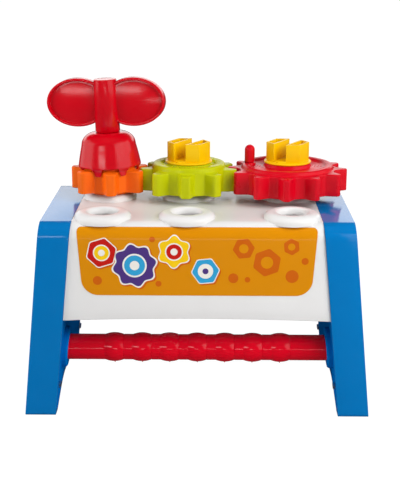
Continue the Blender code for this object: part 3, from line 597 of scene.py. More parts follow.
def tray_section():
    """The tray's outer then inner outline across its depth, as closed (y, z) points in the upright view."""
    half = BENCH_DEPTH / 2 - TRAY_SETBACK
    inner = half - TRAY_WALL
    shoulder = half - TOP_CURVE
    bend = BENCH_HEIGHT - TOP_CURVE
    lip = TRAY_BOTTOM + TRAY_LIP
    straight = TRAY_DEPTH - TOP_CURVE
    outer = [(-half, lip)]
    outer += [(-half, TRAY_BOTTOM + straight * k / 6) for k in range(1, 6)]
    outer += arc((-shoulder, bend), TOP_CURVE, pi, QUARTER, 18)
    outer += [(y, BENCH_HEIGHT) for y in np.linspace(-shoulder, shoulder, 14)[1:-1]]
    outer += arc((shoulder, bend), TOP_CURVE, QUARTER, 0, 18)
    outer += [(half, TRAY_BOTTOM + straight * k / 6) for k in range(5, 0, -1)]
    outer += [(half, lip)]
    outer += arc((half - TRAY_LIP, lip), TRAY_LIP, 0, -QUARTER, 3)[1:]
    corner = TOP_CURVE - TRAY_WALL
    inner_bend = BENCH_HEIGHT - TRAY_WALL - corner
    inside = [(inner, TRAY_BOTTOM)]
    inside += arc((inner - corner, inner_bend), corner, 0, QUARTER, 8)
    inside += arc((-inner + corner, inner_bend), corner, QUARTER, pi, 8)
    inside += [(-inner, TRAY_BOTTOM)]
    inside += arc((-half + TRAY_LIP, lip), TRAY_LIP, -QUARTER, -pi, 3)[:-1]
    return outer + inside


def tray_shape():
    """Top and long skirts in one piece, bored through where the sockets are."""
    section = np.array(tray_section())
    across, height = section[:, 0], section[:, 1]
    low = np.clip((TRAY_BOTTOM + SKIRT_ARCH_REACH - height) / SKIRT_ARCH_REACH, 0, 1)
    side = FRAME_IN - GAP
    rings = [
        points(
            station * (side - LEAN * height),
            across * (1 - TAPER * height),
            height + SKIRT_ARCH * (1 - station * station) * low,
        )
        for station in np.linspace(-1, 1, 25)
    ]
    mesh = loft(rings)
    bm = bmesh.new()
    bm.from_mesh(mesh)
    bmesh.ops.holes_fill(bm, edges=[e for e in bm.edges if e.is_boundary])
    bmesh.ops.recalc_face_normals(bm, faces=bm.faces)
    bm.to_mesh(mesh)
    bm.free()
    bore = [(0, BORE_TOP), (SOCKET_RADIUS, BORE_TOP), (SOCKET_RADIUS, BORE_FOOT), (0, BORE_FOOT)]
    return cut(mesh, *[lathe(bore, centre=place) for place in RING_PLACES])


def end_wall(side):
    """One of the tray's end walls, just inside the side frame."""
    half = BENCH_DEPTH / 2 - TRAY_SETBACK - TRAY_WALL / 2
    low, high = TRAY_BOTTOM + FINE_STEP, BENCH_HEIGHT - TRAY_WALL / 2
    curve = TOP_CURVE - TRAY_WALL / 2
    corners = [(-half, low, 0), (-half, high, curve), (half, high, curve), (half, low, 0)]
    outer = FRAME_IN - GAP
    return sided(extruded([rounded(corners)], outer - TRAY_WALL, outer - HAIR, "YZ"), side)


def ring_and_well(place):
    """A full round ring that flows into the tray, and the socket tube below it."""
    top = BENCH_HEIGHT
    profile = [(RING_RADIUS, top - RING_SUNK), (RING_RADIUS, top - SMALL_EDGE)]
    for angle in np.linspace(0, pi, 29):
        across = copysign(abs(cos(angle)) ** RING_BREADTH, cos(angle))
        reach = (RING_RADIUS if across > 0 else SOCKET_RADIUS) - RING_CREST
        height = top + RING_HEIGHT * sin(angle) ** RING_FULLNESS
        profile.append((RING_CREST + reach * abs(across), height))
    foot = top - SOCKET_DEPTH
    outer = SOCKET_RADIUS + SOCKET_WALL
    profile += [(SOCKET_RADIUS, top - LAP), (SOCKET_RADIUS, foot + SMALL_EDGE)]
    profile += [(SOCKET_RADIUS + SMALL_EDGE, foot), (outer - SMALL_EDGE, foot)]
    profile += [(outer, foot + SMALL_EDGE), (outer, top - RING_SUNK)]
    return lathe(profile, centre=place, looped=True)


def tray():
    """The white tray: top and skirts, end walls, rings and sockets."""
    body = merged(tray_shape(), end_wall(-1), end_wall(1), *[ring_and_well(place) for place in RING_PLACES])
    piece("tray_shell", body, WHITE, "bench", ("tray",), 32)


# Printed panel


def on_skirt(mesh, lift):
    """Lays a flat upright mesh on the front skirt, which bends back toward the tray's top."""
    bend = BENCH_HEIGHT - TOP_CURVE
    bm = bmesh.new()
    bm.from_mesh(mesh)
    for height in np.linspace(bend, PANEL_TOP, 12):
        everything = bm.verts[:] + bm.edges[:] + bm.faces[:]
        bmesh.ops.bisect_plane(bm, geom=everything, dist=1e-7, plane_co=(0, 0, height), plane_no=(0, 0, 1))
    for vertex in bm.verts:
        rise = max(0.0, vertex.co.z - bend)
        back = TOP_CURVE - sqrt(TOP_CURVE * TOP_CURVE - rise * rise)
        front = BENCH_DEPTH / 2 - TRAY_SETBACK - back
        vertex.co.y += -front * (1 - TAPER * vertex.co.z) - lift
    bm.to_mesh(mesh)
    bm.free()
    return mesh


def panel_outline():
    """The film's outline: a little narrower at its well rounded foot."""
    top_half = FRAME_IN - LEAN * PANEL_TOP - PANEL_SIDE_MARGIN
    bottom_half = top_half - PANEL_DRAW
    return rounded([
        (-bottom_half, PANEL_BOTTOM, PANEL_BOTTOM_RADIUS),
        (bottom_half, PANEL_BOTTOM, PANEL_BOTTOM_RADIUS),
        (top_half, PANEL_TOP, PANEL_TOP_RADIUS),
        (-top_half, PANEL_TOP, PANEL_TOP_RADIUS),
    ], 14)


def ink(name, outlines, layer, material):
    """A layer of print: a flat shape a hair above the film."""
    mesh = extruded(outlines, -INK / 2, INK / 2, "XZ")
    print_layer = on_skirt(mesh, FILM_LIFT + INK * (layer + FIRST_LAYER))
    piece(name, print_layer, material, "bench")


def disc(x, z, radius):
    """A round outline."""
    return arc((x, z), radius, 0, tau, 48)[:-1]


def nut(x, z, radius, turn):
    """A hexagon with rounded corners."""
    corners = arc((x, z), radius, turn, turn + tau, 6)[:-1]
    return rounded([(a, b, radius * NUT_CORNER_SHARE) for a, b in corners], 6)


def blossom(petals, depth):
    """Makes round shapes with soft petals."""
    def shape(x, z, radius, turn):
        outline = []
        for k in range(120):
            angle = tau * k / 120
            reach = radius * (1 - depth / 2 + depth / 2 * cos(petals * (angle - turn)))
            outline.append((x + reach * cos(angle), z + reach * sin(angle)))
        return outline
    return shape


def motif(name, shape, x, z, size, turn, body, face, heart):
    """A printed motif: soft shadow, white border, coloured body, ring and middle."""
    shade = shape(x + SHADE_SHIFT, z - SHADE_SHIFT, size * SHADE_SHARE, turn)
    ink(f"{name}_shade", [shade], 0, PRINT_SHADE)
    ink(f"{name}_border", [shape(x, z, size * BORDER_SHARE, turn)], 1, INKS["white"])
    ink(f"{name}_body", [shape(x, z, size, turn)], 2, INKS[body])
    ink(f"{name}_ring", [disc(x, z, size * RING_SHARE)], 3, INKS["white"])
    ink(f"{name}_face", [disc(x, z, size * FACE_SHARE)], 4, INKS[face])
    ink(f"{name}_heart", [disc(x, z, size * HEART_SHARE)], 5, INKS[heart])


def printed_panel():
    """A generic print, each shape by its place, size and turn: nuts, a wheel, a flower and dots."""
    film = on_skirt(extruded([panel_outline()], -FILM_LIFT, 0.0, "XZ"), 0.0)
    piece("panel_film", film, PRINT_ORANGE, "bench", ("printed_panel",))
    motif("nut_red", nut, -0.094, 0.1712, 0.0150, 0.3, "red", "yellow", "white")
    motif("wheel_purple", blossom(8, 0.15), -0.0615, 0.1585, 0.0215, 0.2, "purple", "blue", "white")
    motif("flower_yellow", blossom(6, 0.2), -0.0225, 0.1725, 0.0160, 0.5, "yellow", "red", "white")
    motif("nut_blue", nut, 0.0085, 0.1530, 0.0135, 0.1, "blue", "white", "purple")
    for k, (x, z, size, turn) in enumerate((
        (0.046, 0.176, 0.0110, 0.1), (0.069, 0.162, 0.0145, 0.35), (0.093, 0.178, 0.0085, 0.6),
    )):
        hole = disc(x, z, size * NUT_HOLE_SHARE)[::-1]
        ink(f"tone_nut_{k}", [nut(x, z, size, turn), hole], 0, PRINT_SHADE)
    for k, (x, z, size) in enumerate((
        (0.036, 0.146, 0.0050), (0.094, 0.148, 0.0065), (-0.0985, 0.1430, 0.0045), (0.1065, 0.1635, 0.0035),
        (0.0500, 0.1445, 0.0028), (-0.0380, 0.1400, 0.0030), (-0.0440, 0.1850, 0.0028),
    )):
        ink(f"tone_dot_{k}", [disc(x, z, size)], 0, PRINT_SHADE)


# Cross bar


def bar_profile(end):
    """The bar's outline as (radius, along) points: seven swellings between plain ends."""
    half = BULGE_LENGTH / 2
    sagitta = BULGE_RADIUS - BAR_RADIUS
    curve = (half * half + sagitta * sagitta) / (2 * sagitta)
    profile = [(BAR_RADIUS - FINE_EDGE, -end), (BAR_RADIUS, -end + FINE_EDGE)]
    for k in range(BULGE_COUNT):
        centre = (k - (BULGE_COUNT - 1) / 2) * BULGE_PITCH
        profile.append((BAR_RADIUS, centre - half - SMALL_EDGE))
        for along in np.linspace(-half, half, 17):
            profile.append((BULGE_RADIUS - curve + sqrt(curve * curve - along * along), centre + along))
        profile.append((BAR_RADIUS - THIN_EDGE, centre + half + THIN_EDGE))
        profile.append((BAR_RADIUS, centre + half + SOFT_EDGE))
    return [*profile, (BAR_RADIUS, end - FINE_EDGE), (BAR_RADIUS - FINE_EDGE, end)]


def bar_nubs(end):
    """Small nubs under the bar, one below each swelling and one near each end."""
    nubs = []
    for k in range(BULGE_COUNT + 2):
        x = (k - (BULGE_COUNT + 1) / 2) * BULGE_PITCH
        if abs(x) > end - NUB_MARGIN:
            continue
        swollen = 0 < k < BULGE_COUNT + 1
        face = BAR_Z - (BULGE_RADIUS if swollen else BAR_RADIUS)
        tip = face - NUB_HEIGHT * (1.0 if swollen else PLAIN_NUB_SHARE)
        side = [(radius, face + rise) for radius, rise in NUB_SIDE]
        nubs.append(lathe([(0, tip), (FINE_STEP, tip + HAIR), *side], 20, (x, BAR_Y)))
    return nubs


def cross_bar():
    """The red bar in its two moulded halves."""
    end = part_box("bar_front_half")[1].x
    outside = bar_profile(end)
    section = [*outside, *[(BAR_RADIUS - BAR_WALL, along) for _, along in reversed(outside)]]
    turn = Matrix.Translation((0, BAR_Y, BAR_Z)) @ Matrix.Rotation(QUARTER, 4, "Y")
    around = np.linspace(0, pi, 49)
    for name, side, nubs in (("front", -1, bar_nubs(end)), ("rear", 1, [])):
        rings = [
            points(radius * np.cos(around), side * np.maximum(radius * np.sin(around), HAIR), along)
            for radius, along in section
        ]
        half = loft(rings, loop_rings=True, closed=False)
        half.transform(turn)
        piece(f"bar_{name}", merged(half, *nubs), RED_BAR, "bench", (f"bar_{name}_half",), 24)


# Gears


def meshed_phase(driver_phase, driver, follower):
    """The angle at which a gear's teeth fall into the gaps of the one that drives it."""
    driver_pitch = tau / TEETH[driver]
    follower_pitch = tau / TEETH[follower]
    passed = (driver_phase + QUARTER) / driver_pitch
    return remainder(QUARTER - (passed + 0.5) * follower_pitch, follower_pitch)


def tooth_points(colour):
    """Half a tooth, from its root to the middle of its tip, as (across, outward) points."""
    tip, root, wide, narrow = TIP_RADIUS[colour], ROOT_RADIUS[colour], TOOTH_ROOT[colour], TOOTH_TIP[colour]
    reach = sqrt(tip * tip - (narrow / 2 - TOOTH_CORNER) ** 2)
    foot = sqrt(root * root - wide * wide / 4)
    cut_corner = CORNER_SHARE * TOOTH_CORNER
    return [
        (-wide / 2, foot),
        (-narrow / 2, reach - TOOTH_CORNER),
        (-narrow / 2 + cut_corner, reach - cut_corner),
        (-narrow / 2 + TOOTH_CORNER, reach),
        (0.0, tip),
    ]


def gear_radii(colour, phase, samples):
    """The toothed outline read at even angles, with its corners eased."""
    half = tooth_points(colour)
    tooth = half + [(-across, out) for across, out in reversed(half[:-1])]
    corners = []
    for k in range(TEETH[colour]):
        turn = phase + tau * k / TEETH[colour]
        for across, out in tooth:
            corners.append((atan2(across, out) + turn, hypot(across, out)))
        corners.append((turn + pi / TEETH[colour], ROOT_RADIUS[colour] * VALLEY_SHARE))
    corners.append((corners[0][0] + tau, corners[0][1]))
    angles = corners[0][0] + np.arange(samples) * tau / samples
    radii = np.zeros(samples)
    for (a0, r0), (a1, r1) in zip(corners, corners[1:]):
        inside = (angles >= a0 - 1e-9) & (angles < a1 + 1e-9)
        x0, y0 = r0 * sin(a0), r0 * cos(a0)
        dx, dy = r1 * sin(a1) - x0, r1 * cos(a1) - y0
        radii[inside] = (x0 * dy - y0 * dx) / (np.sin(angles[inside]) * dy - np.cos(angles[inside]) * dx)
    spread = SMALL_EDGE / ROOT_RADIUS[colour] * samples / tau
    reach = int(3 * spread) + 1
    weights = np.exp(-0.5 * (np.arange(-reach, reach + 1) / spread) ** 2)
    padded = np.concatenate([radii[-reach:], radii, radii[:reach]])
    return angles, np.convolve(padded, weights / weights.sum(), "valid")


def smooth(share):
    """Eases a share from 0 to 1 at both its ends."""
    share = np.clip(share, 0, 1)
    return share * share * (3 - 2 * share)


def gear_skin(colour, phase):
    """The gear's skin in one loft: underside, teeth, drum, top and down the bore."""
    samples = TEETH[colour] * TOOTH_SAMPLES[colour]
    angles, radii = gear_radii(colour, phase, samples)
    outline = np.column_stack([radii * np.sin(angles), -radii * np.cos(angles)])
    along = np.roll(outline, -1, axis=0) - np.roll(outline, 1, axis=0)
    normal = np.column_stack([along[:, 1], -along[:, 0]])
    normal /= np.linalg.norm(normal, axis=1)[:, None]
    drum = BAND_RADIUS[colour]
    tooth = smooth((radii - drum - SOFT_EDGE) / TOOTH_BLEND)[:, None]

    def toothed(inset, z):
        return points(*(outline - normal * inset).T, z)

    def circle(radius, z):
        return points(radius * np.sin(angles), -radius * np.cos(angles), z)

    rings = [toothed(GEAR_WALL, TOOTH_TOP - GEAR_WALL), toothed(GEAR_WALL, TOOTH_BOTTOM)]
    for angle in np.linspace(0, QUARTER, 7):
        rise = TOOTH_EDGE * (1 - cos(angle))
        rings.append(toothed(TOOTH_EDGE * (1 - sin(angle)), TOOTH_BOTTOM + rise))
    flank = TOOTH_HEIGHT - TOOTH_EDGE - TOOTH_CROWN
    for share in (0.25, 0.5, 0.75):
        rings.append(toothed(0.0, TOOTH_BOTTOM + TOOTH_EDGE + flank * share))
    for angle in np.linspace(0, QUARTER, 8):
        inset = TOOTH_CROWN * (1 - cos(angle)) * tooth
        rings.append(toothed(inset, TOOTH_TOP - TOOTH_CROWN * (1 - sin(angle))))
    rim = rings[-1]
    near = circle(drum + DRUM_FILLET * tooth[:, 0], TOOTH_TOP)
    step = (1 - tooth) * [0, 0, FINE_STEP]
    rings.append(rim + (near - rim) * 0.5 + step * 0.5)
    rings.append(near + step)
    for angle in np.linspace(0, QUARTER, 5)[1:]:
        out = drum + DRUM_FILLET * tooth[:, 0] * (1 - sin(angle))
        rings.append(circle(out, TOOTH_TOP + FINE_STEP + DRUM_FILLET * (1 - cos(angle))))
    rings += gear_top(colour, circle, angles)
    rings += [circle(radius, z) for radius, z in hub_bore()]
    return loft(rings, loop_rings=True)


def hub_bore():
    """Down the keyed bore, on down the shank's, and up the hub's outside, as (radius, height) points."""
    keyed, shank = KEYED_RADIUS + FIT, SHANK_RADIUS + FIT
    keyed_foot = FLANGE_BOTTOM - KEYED_LENGTH - GAP
    foot = BENCH_HEIGHT + RING_HEIGHT + GAP
    return [
        (KEYED_RADIUS + SMALL_EDGE, HUB_TOP), (keyed, HUB_TOP - FIT), (keyed, keyed_foot),
        (shank, keyed_foot), (shank, foot), (HUB_RADIUS - SMALL_EDGE, foot), (HUB_RADIUS, foot + SMALL_EDGE),
        (HUB_RADIUS, TOOTH_TOP - GEAR_WALL),
    ]


def gear_top(colour, circle, angles):
    """Rings over the drum's crest and down into its dish, out to in."""
    crest = HUB_TOP - (RED_CREST_DROP if colour == "red" else 0)
    outer, lip = BAND_RADIUS[colour] - DRUM_LEAN, DRUM_LIP[colour]
    rings = [
        circle(outer - lip * (1 - cos(angle)), crest - lip * (1 - sin(angle)))
        for angle in np.linspace(0, QUARTER, 9)
    ]
    if colour == "orange":
        return rings
    dish = red_dish(crest) if colour == "red" else green_dish(crest, angles)
    hub = [(HUB_FACE, HUB_TOP - THIN_EDGE), (HUB_FACE - THIN_EDGE, HUB_TOP)]
    return rings + [circle(radius, z) for radius, z in dish + hub]


def red_dish(crest):
    """A fine groove round the crest, then a wide shallow dish, as (radius, height) points."""
    floor = crest - RED_DISH_DEPTH
    side = [
        (GROOVE_RADIUS + SMALL_EDGE * across, crest - FINE_STEP * down)
        for across, down in ((1, 0), (0.5, 1), (-0.5, 1), (-1, 0))
    ]
    side += [(RED_DISH_RADIUS - inward, crest - down) for inward, down in RED_DISH_SIDE]
    return side + [(HUB_FACE + outward, floor + up) for outward, up in RED_DISH_FOOT]


def green_dish(crest, angles):
    """A ribbed wall down to a narrow dish, as (radius, height) points."""
    floor = crest - GREEN_DISH_DEPTH
    wave = np.abs((angles * RIB_COUNT / tau) % 1 * 2 - 1)
    ribbed = RIB_RADIUS + RIB_DEPTH * wave ** RIB_SHARPNESS
    side = [(ribbed + outward, crest - down) for outward, down in RIB_EDGE]
    side.append((ribbed - FINE_STEP, floor))
    return side + [(HUB_FACE + outward, floor + up) for outward, up in GREEN_DISH_FOOT]


def placed_gear(mesh, colour, material):
    """Sets a gear on its axis as a finished piece."""
    mesh.transform(Matrix.Translation((AXIS[colour], BACK_ROW_Y, 0)))
    name = f"{colour}_gear"
    piece(f"{colour}_toothed_wheel", mesh, material, name, (name,), 50)


def pits():
    """Cutters for two rosettes of small pits beside the bolt in the red gear's dish."""
    floor = HUB_TOP - RED_CREST_DROP - RED_DISH_DEPTH
    foot, above = floor - PIT_DEPTH, floor + LAP
    shape = [(0, foot), (PIT_FOOT_RADIUS, foot + PIT_FOOT_RISE), (PIT_RADIUS, above), (0, above)]
    cutters = []
    for way in (-1, 1):
        for k in range(PIT_COUNT):
            reach = PIT_SPREAD if k else 0.0
            angle = tau * k / (PIT_COUNT - 1) + PIT_TURN
            place = (way * ROSETTE_X + reach * cos(angle), ROSETTE_Y + reach * sin(angle))
            cutters.append(lathe(shape, 16, place))
    return merged(*cutters)


def crank_boss():
    """The low boss on the red gear's rim, under the crank knob."""
    knob = middle("crank_knob")
    radius, edge = CRANK_BOSS_RADIUS, SOFT_EDGE
    top = HUB_TOP - RED_CREST_DROP
    profile = [(0, top), (radius - edge, top), (radius, top - edge), (radius, TOOTH_TOP), (0, TOOTH_TOP)]
    return lathe(profile, 48, (knob.x - AXIS["red"], knob.y - BACK_ROW_Y))


def gears():
    """The three meshed gears; gives back the orange one's angle for the key."""
    green_phase = meshed_phase(RED_PHASE, "red", "green") + GREEN_BACKLASH
    orange_phase = meshed_phase(green_phase, "green", "orange") + ORANGE_BACKLASH
    placed_gear(gear_skin("orange", orange_phase), "orange", ORANGE)
    placed_gear(gear_skin("green", green_phase), "green", GREEN)
    placed_gear(merged(cut(gear_skin("red", RED_PHASE), pits()), crank_boss()), "red", RED_GEAR)
    return orange_phase


# Bolts


def hexagon(radius):
    """A hexagon about the origin, with a corner to the right."""
    return arc((0, 0), radius, 0, tau, 6)[:-1]


def clipped(outline, normal, limit):
    """The part of an outline on the far side of a line."""
    outline = np.array(outline)
    sides = outline @ normal - limit
    kept = []
    for k, here in enumerate(outline):
        before = outline[k - 1]
        if sides[k] * sides[k - 1] < 0:
            kept.append(before + (here - before) * sides[k - 1] / (sides[k - 1] - sides[k]))
        if sides[k] >= 0:
            kept.append(here)
    return kept


def eased(outline, radius):
    """An outline with all its corners rounded alike."""
    return rounded([(a, b, radius) for a, b in outline], 5)


def bolt_head():
    """The hollow hex head in two parts with a slot between them, and the slot's floor."""
    parts = []
    inner_radius = HEAD_RADIUS - HEAD_WALL / cos(pi / 6)
    for way in (-1, 1):
        normal = (-way * sin(SLOT_TURN), way * cos(SLOT_TURN))
        outer = eased(clipped(hexagon(HEAD_RADIUS), normal, SLOT_WIDTH / 2), SOFT_EDGE)
        inner = eased(clipped(hexagon(inner_radius), normal, SLOT_WIDTH / 2 + HEAD_WALL), SMALL_EDGE)
        parts.append(extruded([outer, inner[::-1]], HEAD_BOTTOM - THIN_EDGE, HEAD_TOP, edge=FINE_EDGE))
    floor = eased(hexagon(HEAD_RADIUS - SLOT_FLOOR_INSET), SOFT_EDGE)
    low, high = HEAD_BOTTOM - SMALL_EDGE, HEAD_BOTTOM + SLOT_FLOOR
    return [*parts, extruded([floor], low, high, edge=THIN_EDGE, segments=2)]


def bolt_flange():
    """The round flange under the head, with a full round rim."""
    edge = FLANGE_THICKNESS / 2
    rim = arc((FLANGE_RADIUS - edge, FLANGE_BOTTOM + edge), edge, -QUARTER, QUARTER, 10)
    return lathe([(0, FLANGE_BOTTOM), *rim, (HEAD_RADIUS - FLANGE_SLOPE, HEAD_BOTTOM), (0, HEAD_BOTTOM)])


def bolt_shank():
    """The hollow round shank below the keyed part, with a tapered end."""
    core, foot = SHANK_RADIUS - HEAD_WALL, SHANK_END
    top = FLANGE_BOTTOM - KEYED_LENGTH
    hollow = [(0, top - LAP), (core, top - LAP), (core, foot + FINE_EDGE), (core + FINE_EDGE, foot)]
    taper = [(SHANK_RADIUS - SHANK_TAPER, foot), (SHANK_RADIUS, foot + SHANK_TAPER_RISE)]
    return lathe([*hollow, *taper, (SHANK_RADIUS, top + LAP), (0, top + LAP)])


def bolt(colour, body):
    """A yellow bolt: slotted head, flange, hexagonal keyed part and shank."""
    low, high = FLANGE_BOTTOM - KEYED_LENGTH, FLANGE_BOTTOM + FINE_EDGE
    keyed = extruded([eased(hexagon(KEYED_RADIUS), KEYED_CORNER)], low, high, edge=FINE_EDGE, segments=2)
    mesh = merged(*bolt_head(), bolt_flange(), keyed, bolt_shank())
    mesh.transform(Matrix.Translation((AXIS[colour], BACK_ROW_Y, 0)))
    piece(f"{colour}_hex_bolt", mesh, YELLOW, body, (f"{colour}_gear_bolt",), 34)


# Crank


def crank():
    """The upright peg: a domed top, and a bore that takes its pin."""
    low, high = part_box("crank_knob")
    centre = middle("crank_knob")
    radius = (high.x - low.x) / 2
    shoulder = high.z - radius
    bore = [(CRANK_BORE_RADIUS, low.z), (CRANK_BORE_RADIUS, shoulder), (0, shoulder)]
    foot = [(radius, low.z + SMALL_EDGE), (radius - SMALL_EDGE, low.z)]
    knob = lathe([*arc((0, shoulder), radius, QUARTER, 0, 12), *foot, *bore], 64, (centre.x, centre.y))
    piece("crank_grip", knob, RED_GEAR, "crank", ("crank_knob",))


# Key


def key_lean():
    """Puts the key over the orange gear, leaning a little to the left."""
    pivot = Matrix.Translation((AXIS["orange"], BACK_ROW_Y, BELL_BOTTOM))
    return pivot @ Matrix.Rotation(-KEY_LEAN, 4, "Y")


def key_bell(phase):
    """The bell's skin: shoulder, flare, a mouth whose edge drops in soft tongues, then the socket inside."""
    angles = np.arange(BELL_SAMPLES) * tau / BELL_SAMPLES
    pitch = tau / TEETH["orange"]
    away = np.abs((angles - phase + QUARTER) % pitch - pitch / 2)
    ramp = TONGUE_SIDE / BELL_MOUTH
    edge = -TONGUE_DROP * smooth((TONGUE_WIDTH / 2 / BELL_MOUTH + ramp / 2 - away) / ramp)
    cosine, sine = np.cos(angles), np.sin(angles)
    turn = BELL_HEIGHT - SHOULDER_RISE
    draw = TOOTH_TOP - BELL_BOTTOM

    def ring(radius, height):
        return points(radius * cosine, radius * sine, height)

    def flare(height):
        share = np.clip(1 - height / turn, 0, 1)
        widening = BELL_FLARE * share - (BELL_FLARE - 1) * share * share
        wide = BELL_SHOULDER + (BELL_MOUTH - BELL_SHOULDER) * widening
        return np.where(height < 0, BELL_MOUTH + (TONGUE_REACH - BELL_MOUTH) * smooth(height / draw), wide)

    rings = [ring(0.0, BELL_HEIGHT), ring(BELL_TOP_RADIUS, BELL_HEIGHT)]
    for angle in np.linspace(QUARTER, SHOULDER_END, 16):
        bend = SHOULDER_REACH * (1 - cos(angle))
        rings.append(ring(BELL_SHOULDER - bend, turn + SHOULDER_RISE * sin(angle)))
    for height in np.linspace(turn - FLARE_START, TONGUE_START, 12):
        rings.append(ring(flare(height), height))
    for share in np.linspace(0.12, 1.0, 8):
        height = TONGUE_START + (edge + BELL_LIP - TONGUE_START) * share
        rings.append(ring(flare(height), height))
    for angle in np.linspace(0, QUARTER, 4)[1:]:
        inset = FINE_EDGE * (1 - cos(angle))
        rings.append(ring(flare(edge + BELL_LIP) - inset, edge + BELL_LIP * (1 - sin(angle))))
    room = ROOT_RADIUS["orange"] + BELL_ROOM
    rings.append(ring(room + THIN_EDGE, edge))
    rings.append(ring(room, edge + BELL_LIP))
    rings.append(ring(room, BELL_ROOM_HEIGHT))
    rings += [ring(HEAD_RADIUS + outward, height) for outward, height in BELL_SEAT]
    rings.append(ring(0.0, BELL_CEILING))
    mesh = loft(rings)
    mesh.transform(key_lean())
    piece("key_cup", mesh, RED_KEY, "key", ("key_bell",), 60)


def wing(way, centre):
    """An oval wing: a raised rounded rim round a gently swollen face, the same on both sides."""
    angles = np.arange(WING_SAMPLES) * tau / WING_SAMPLES
    half = WING_THICKNESS / 2
    section = arc((WING_ROLL, half - WING_ROLL), WING_ROLL, pi, QUARTER, 6)
    section += [(WING_RIM - back, half - down) for back, down in WING_RIM_EDGE]
    for share in np.linspace(0, 1, 14):
        depth = WING_DISH - WING_SWELL * (1 - (1 - share) ** 2)
        section.append((WING_RIM + (WING_HALF_HEIGHT - WING_RIM) * share, half - depth))
    loops = []
    for inset, y in [*reversed(section), *[(inset, -y) for inset, y in section]]:
        tall = WING_HALF_HEIGHT - inset
        wide = WING_HALF_LENGTH - inset
        if inset > WING_RIM:
            wide = (WING_HALF_LENGTH - WING_RIM) * tall / (WING_HALF_HEIGHT - WING_RIM)
        x = way * WING_OFFSET + wide * np.cos(angles)
        loops.append(points(x, y, centre + tall * np.sin(angles)))
    return loft(loops)


def outboard(way):
    """A block on one side of the stem's axis, which keeps a wing out of the stem's middle."""
    near, far = sorted((way * STEM_TOP_RADIUS * WING_ROOT_SHARE, way * (WING_OFFSET + 2 * WING_HALF_LENGTH)))
    half, height = OUTBOARD_DEPTH / 2, OUTBOARD_HEIGHT
    return extruded([[(near, -half), (far, -half), (far, half), (near, half)]], 0, height)


def key_handle():
    """The tapered stem with a wing on either side."""
    foot = BELL_HEIGHT + GAP
    top = foot + STEM_HEIGHT
    cap = arc((STEM_TOP_RADIUS - STEM_TOP_EDGE, top - STEM_TOP_EDGE), STEM_TOP_EDGE, QUARTER, 0, 8)
    base = [(STEM_BASE_RADIUS - HAIR, foot + SOFT_EDGE), (STEM_BASE_RADIUS - SOFT_EDGE, foot)]
    spigot = [(SPIGOT_RADIUS, foot), (SPIGOT_RADIUS, foot - SPIGOT_DEPTH), (0, foot - SPIGOT_DEPTH)]
    stem = lathe([(0, top), *cap, *base, *spigot])
    wings = [cut(wing(way, foot + WING_CENTRE), outboard(way), operation="INTERSECT") for way in (-1, 1)]
    mesh = cut(stem, *wings, operation="UNION")
    mesh.transform(key_lean() @ Matrix.Rotation(KEY_TURN, 4, "Z"))
    piece("key_wings", mesh, RED_KEY, "key", ("key_handle",), 50)


# Screws, covers and pin


def kept_nodes(nodes):
    """Finishes for the screws, the covers and the crank's pin, whose shapes stay as they are."""
    for name, obj in nodes.items():
        if "screw" in name:
            material = STEEL
        elif name.endswith("frame_cover"):
            material = BLUE_MATT
        elif name == "crank_pin":
            material = RED_GEAR
        else:
            continue
        for slot in obj.material_slots:
            slot.material = material


# Studio


def mixed(tree, amount, one, other):
    """Two shaders mixed by an amount, from all one at 0 to all the other at 1."""
    mix = node(tree, "MixShader")
    tree.links.new(amount, mix.inputs["Fac"])
    tree.links.new(one, mix.inputs[1])
    tree.links.new(other, mix.inputs[2])
    return mix.outputs[0]


def studio():
    """White surroundings: a soft world, the pale floor and the light panels."""
    world = bpy.data.worlds.new("studio")
    bpy.context.scene.world = world
    world.use_nodes = True
    tree = world.node_tree
    tree.nodes.clear()
    path = node(tree, "LightPath")

    def backdrop(strength):
        return node(tree, "Background", Color=(1, 1, 1, 1), Strength=strength).outputs[0]

    unseen = mixed(tree, path.outputs["Is Glossy Ray"], backdrop(WORLD_LIGHT), backdrop(WORLD_SHEEN))
    seen = mixed(tree, path.outputs["Is Camera Ray"], unseen, backdrop(WORLD_SEEN))
    tree.links.new(seen, node(tree, "OutputWorld").inputs["Surface"])
    floor()
    lights()


def floor():
    """A pale floor that keeps a faint shadow and otherwise runs into the white background."""
    mesh = bpy.data.meshes.new("floor")
    bm = bmesh.new()
    bmesh.ops.create_circle(bm, cap_ends=True, segments=64, radius=FLOOR_RADIUS)
    bm.to_mesh(mesh)
    bm.free()
    ground = added("floor", mesh)
    ground.location.z = -FLOOR_DROP
    pale = bpy.data.materials.new("pale floor")
    pale.use_nodes = True
    tree = pale.node_tree
    shader = tree.nodes["Principled BSDF"]
    shader.inputs["Base Color"].default_value = (FLOOR_TONE, FLOOR_TONE, FLOOR_TONE, 1)
    shader.inputs["Roughness"].default_value = FLOOR_ROUGHNESS
    path = node(tree, "LightPath")
    share = node(tree, "Math")
    share.operation = "MULTIPLY"
    share.inputs[1].default_value = FLOOR_GLOW_SHARE
    tree.links.new(path.outputs["Is Camera Ray"], share.inputs[0])

    def glow(strength):
        return node(tree, "Emission", Strength=strength).outputs[0]

    seen = mixed(tree, share.outputs[0], shader.outputs[0], glow(FLOOR_GLOW))
    seen = mixed(tree, path.outputs["Is Glossy Ray"], seen, glow(FLOOR_SHEEN))
    tree.links.new(seen, tree.nodes["Material Output"].inputs["Surface"])
    mesh.materials.append(pale)


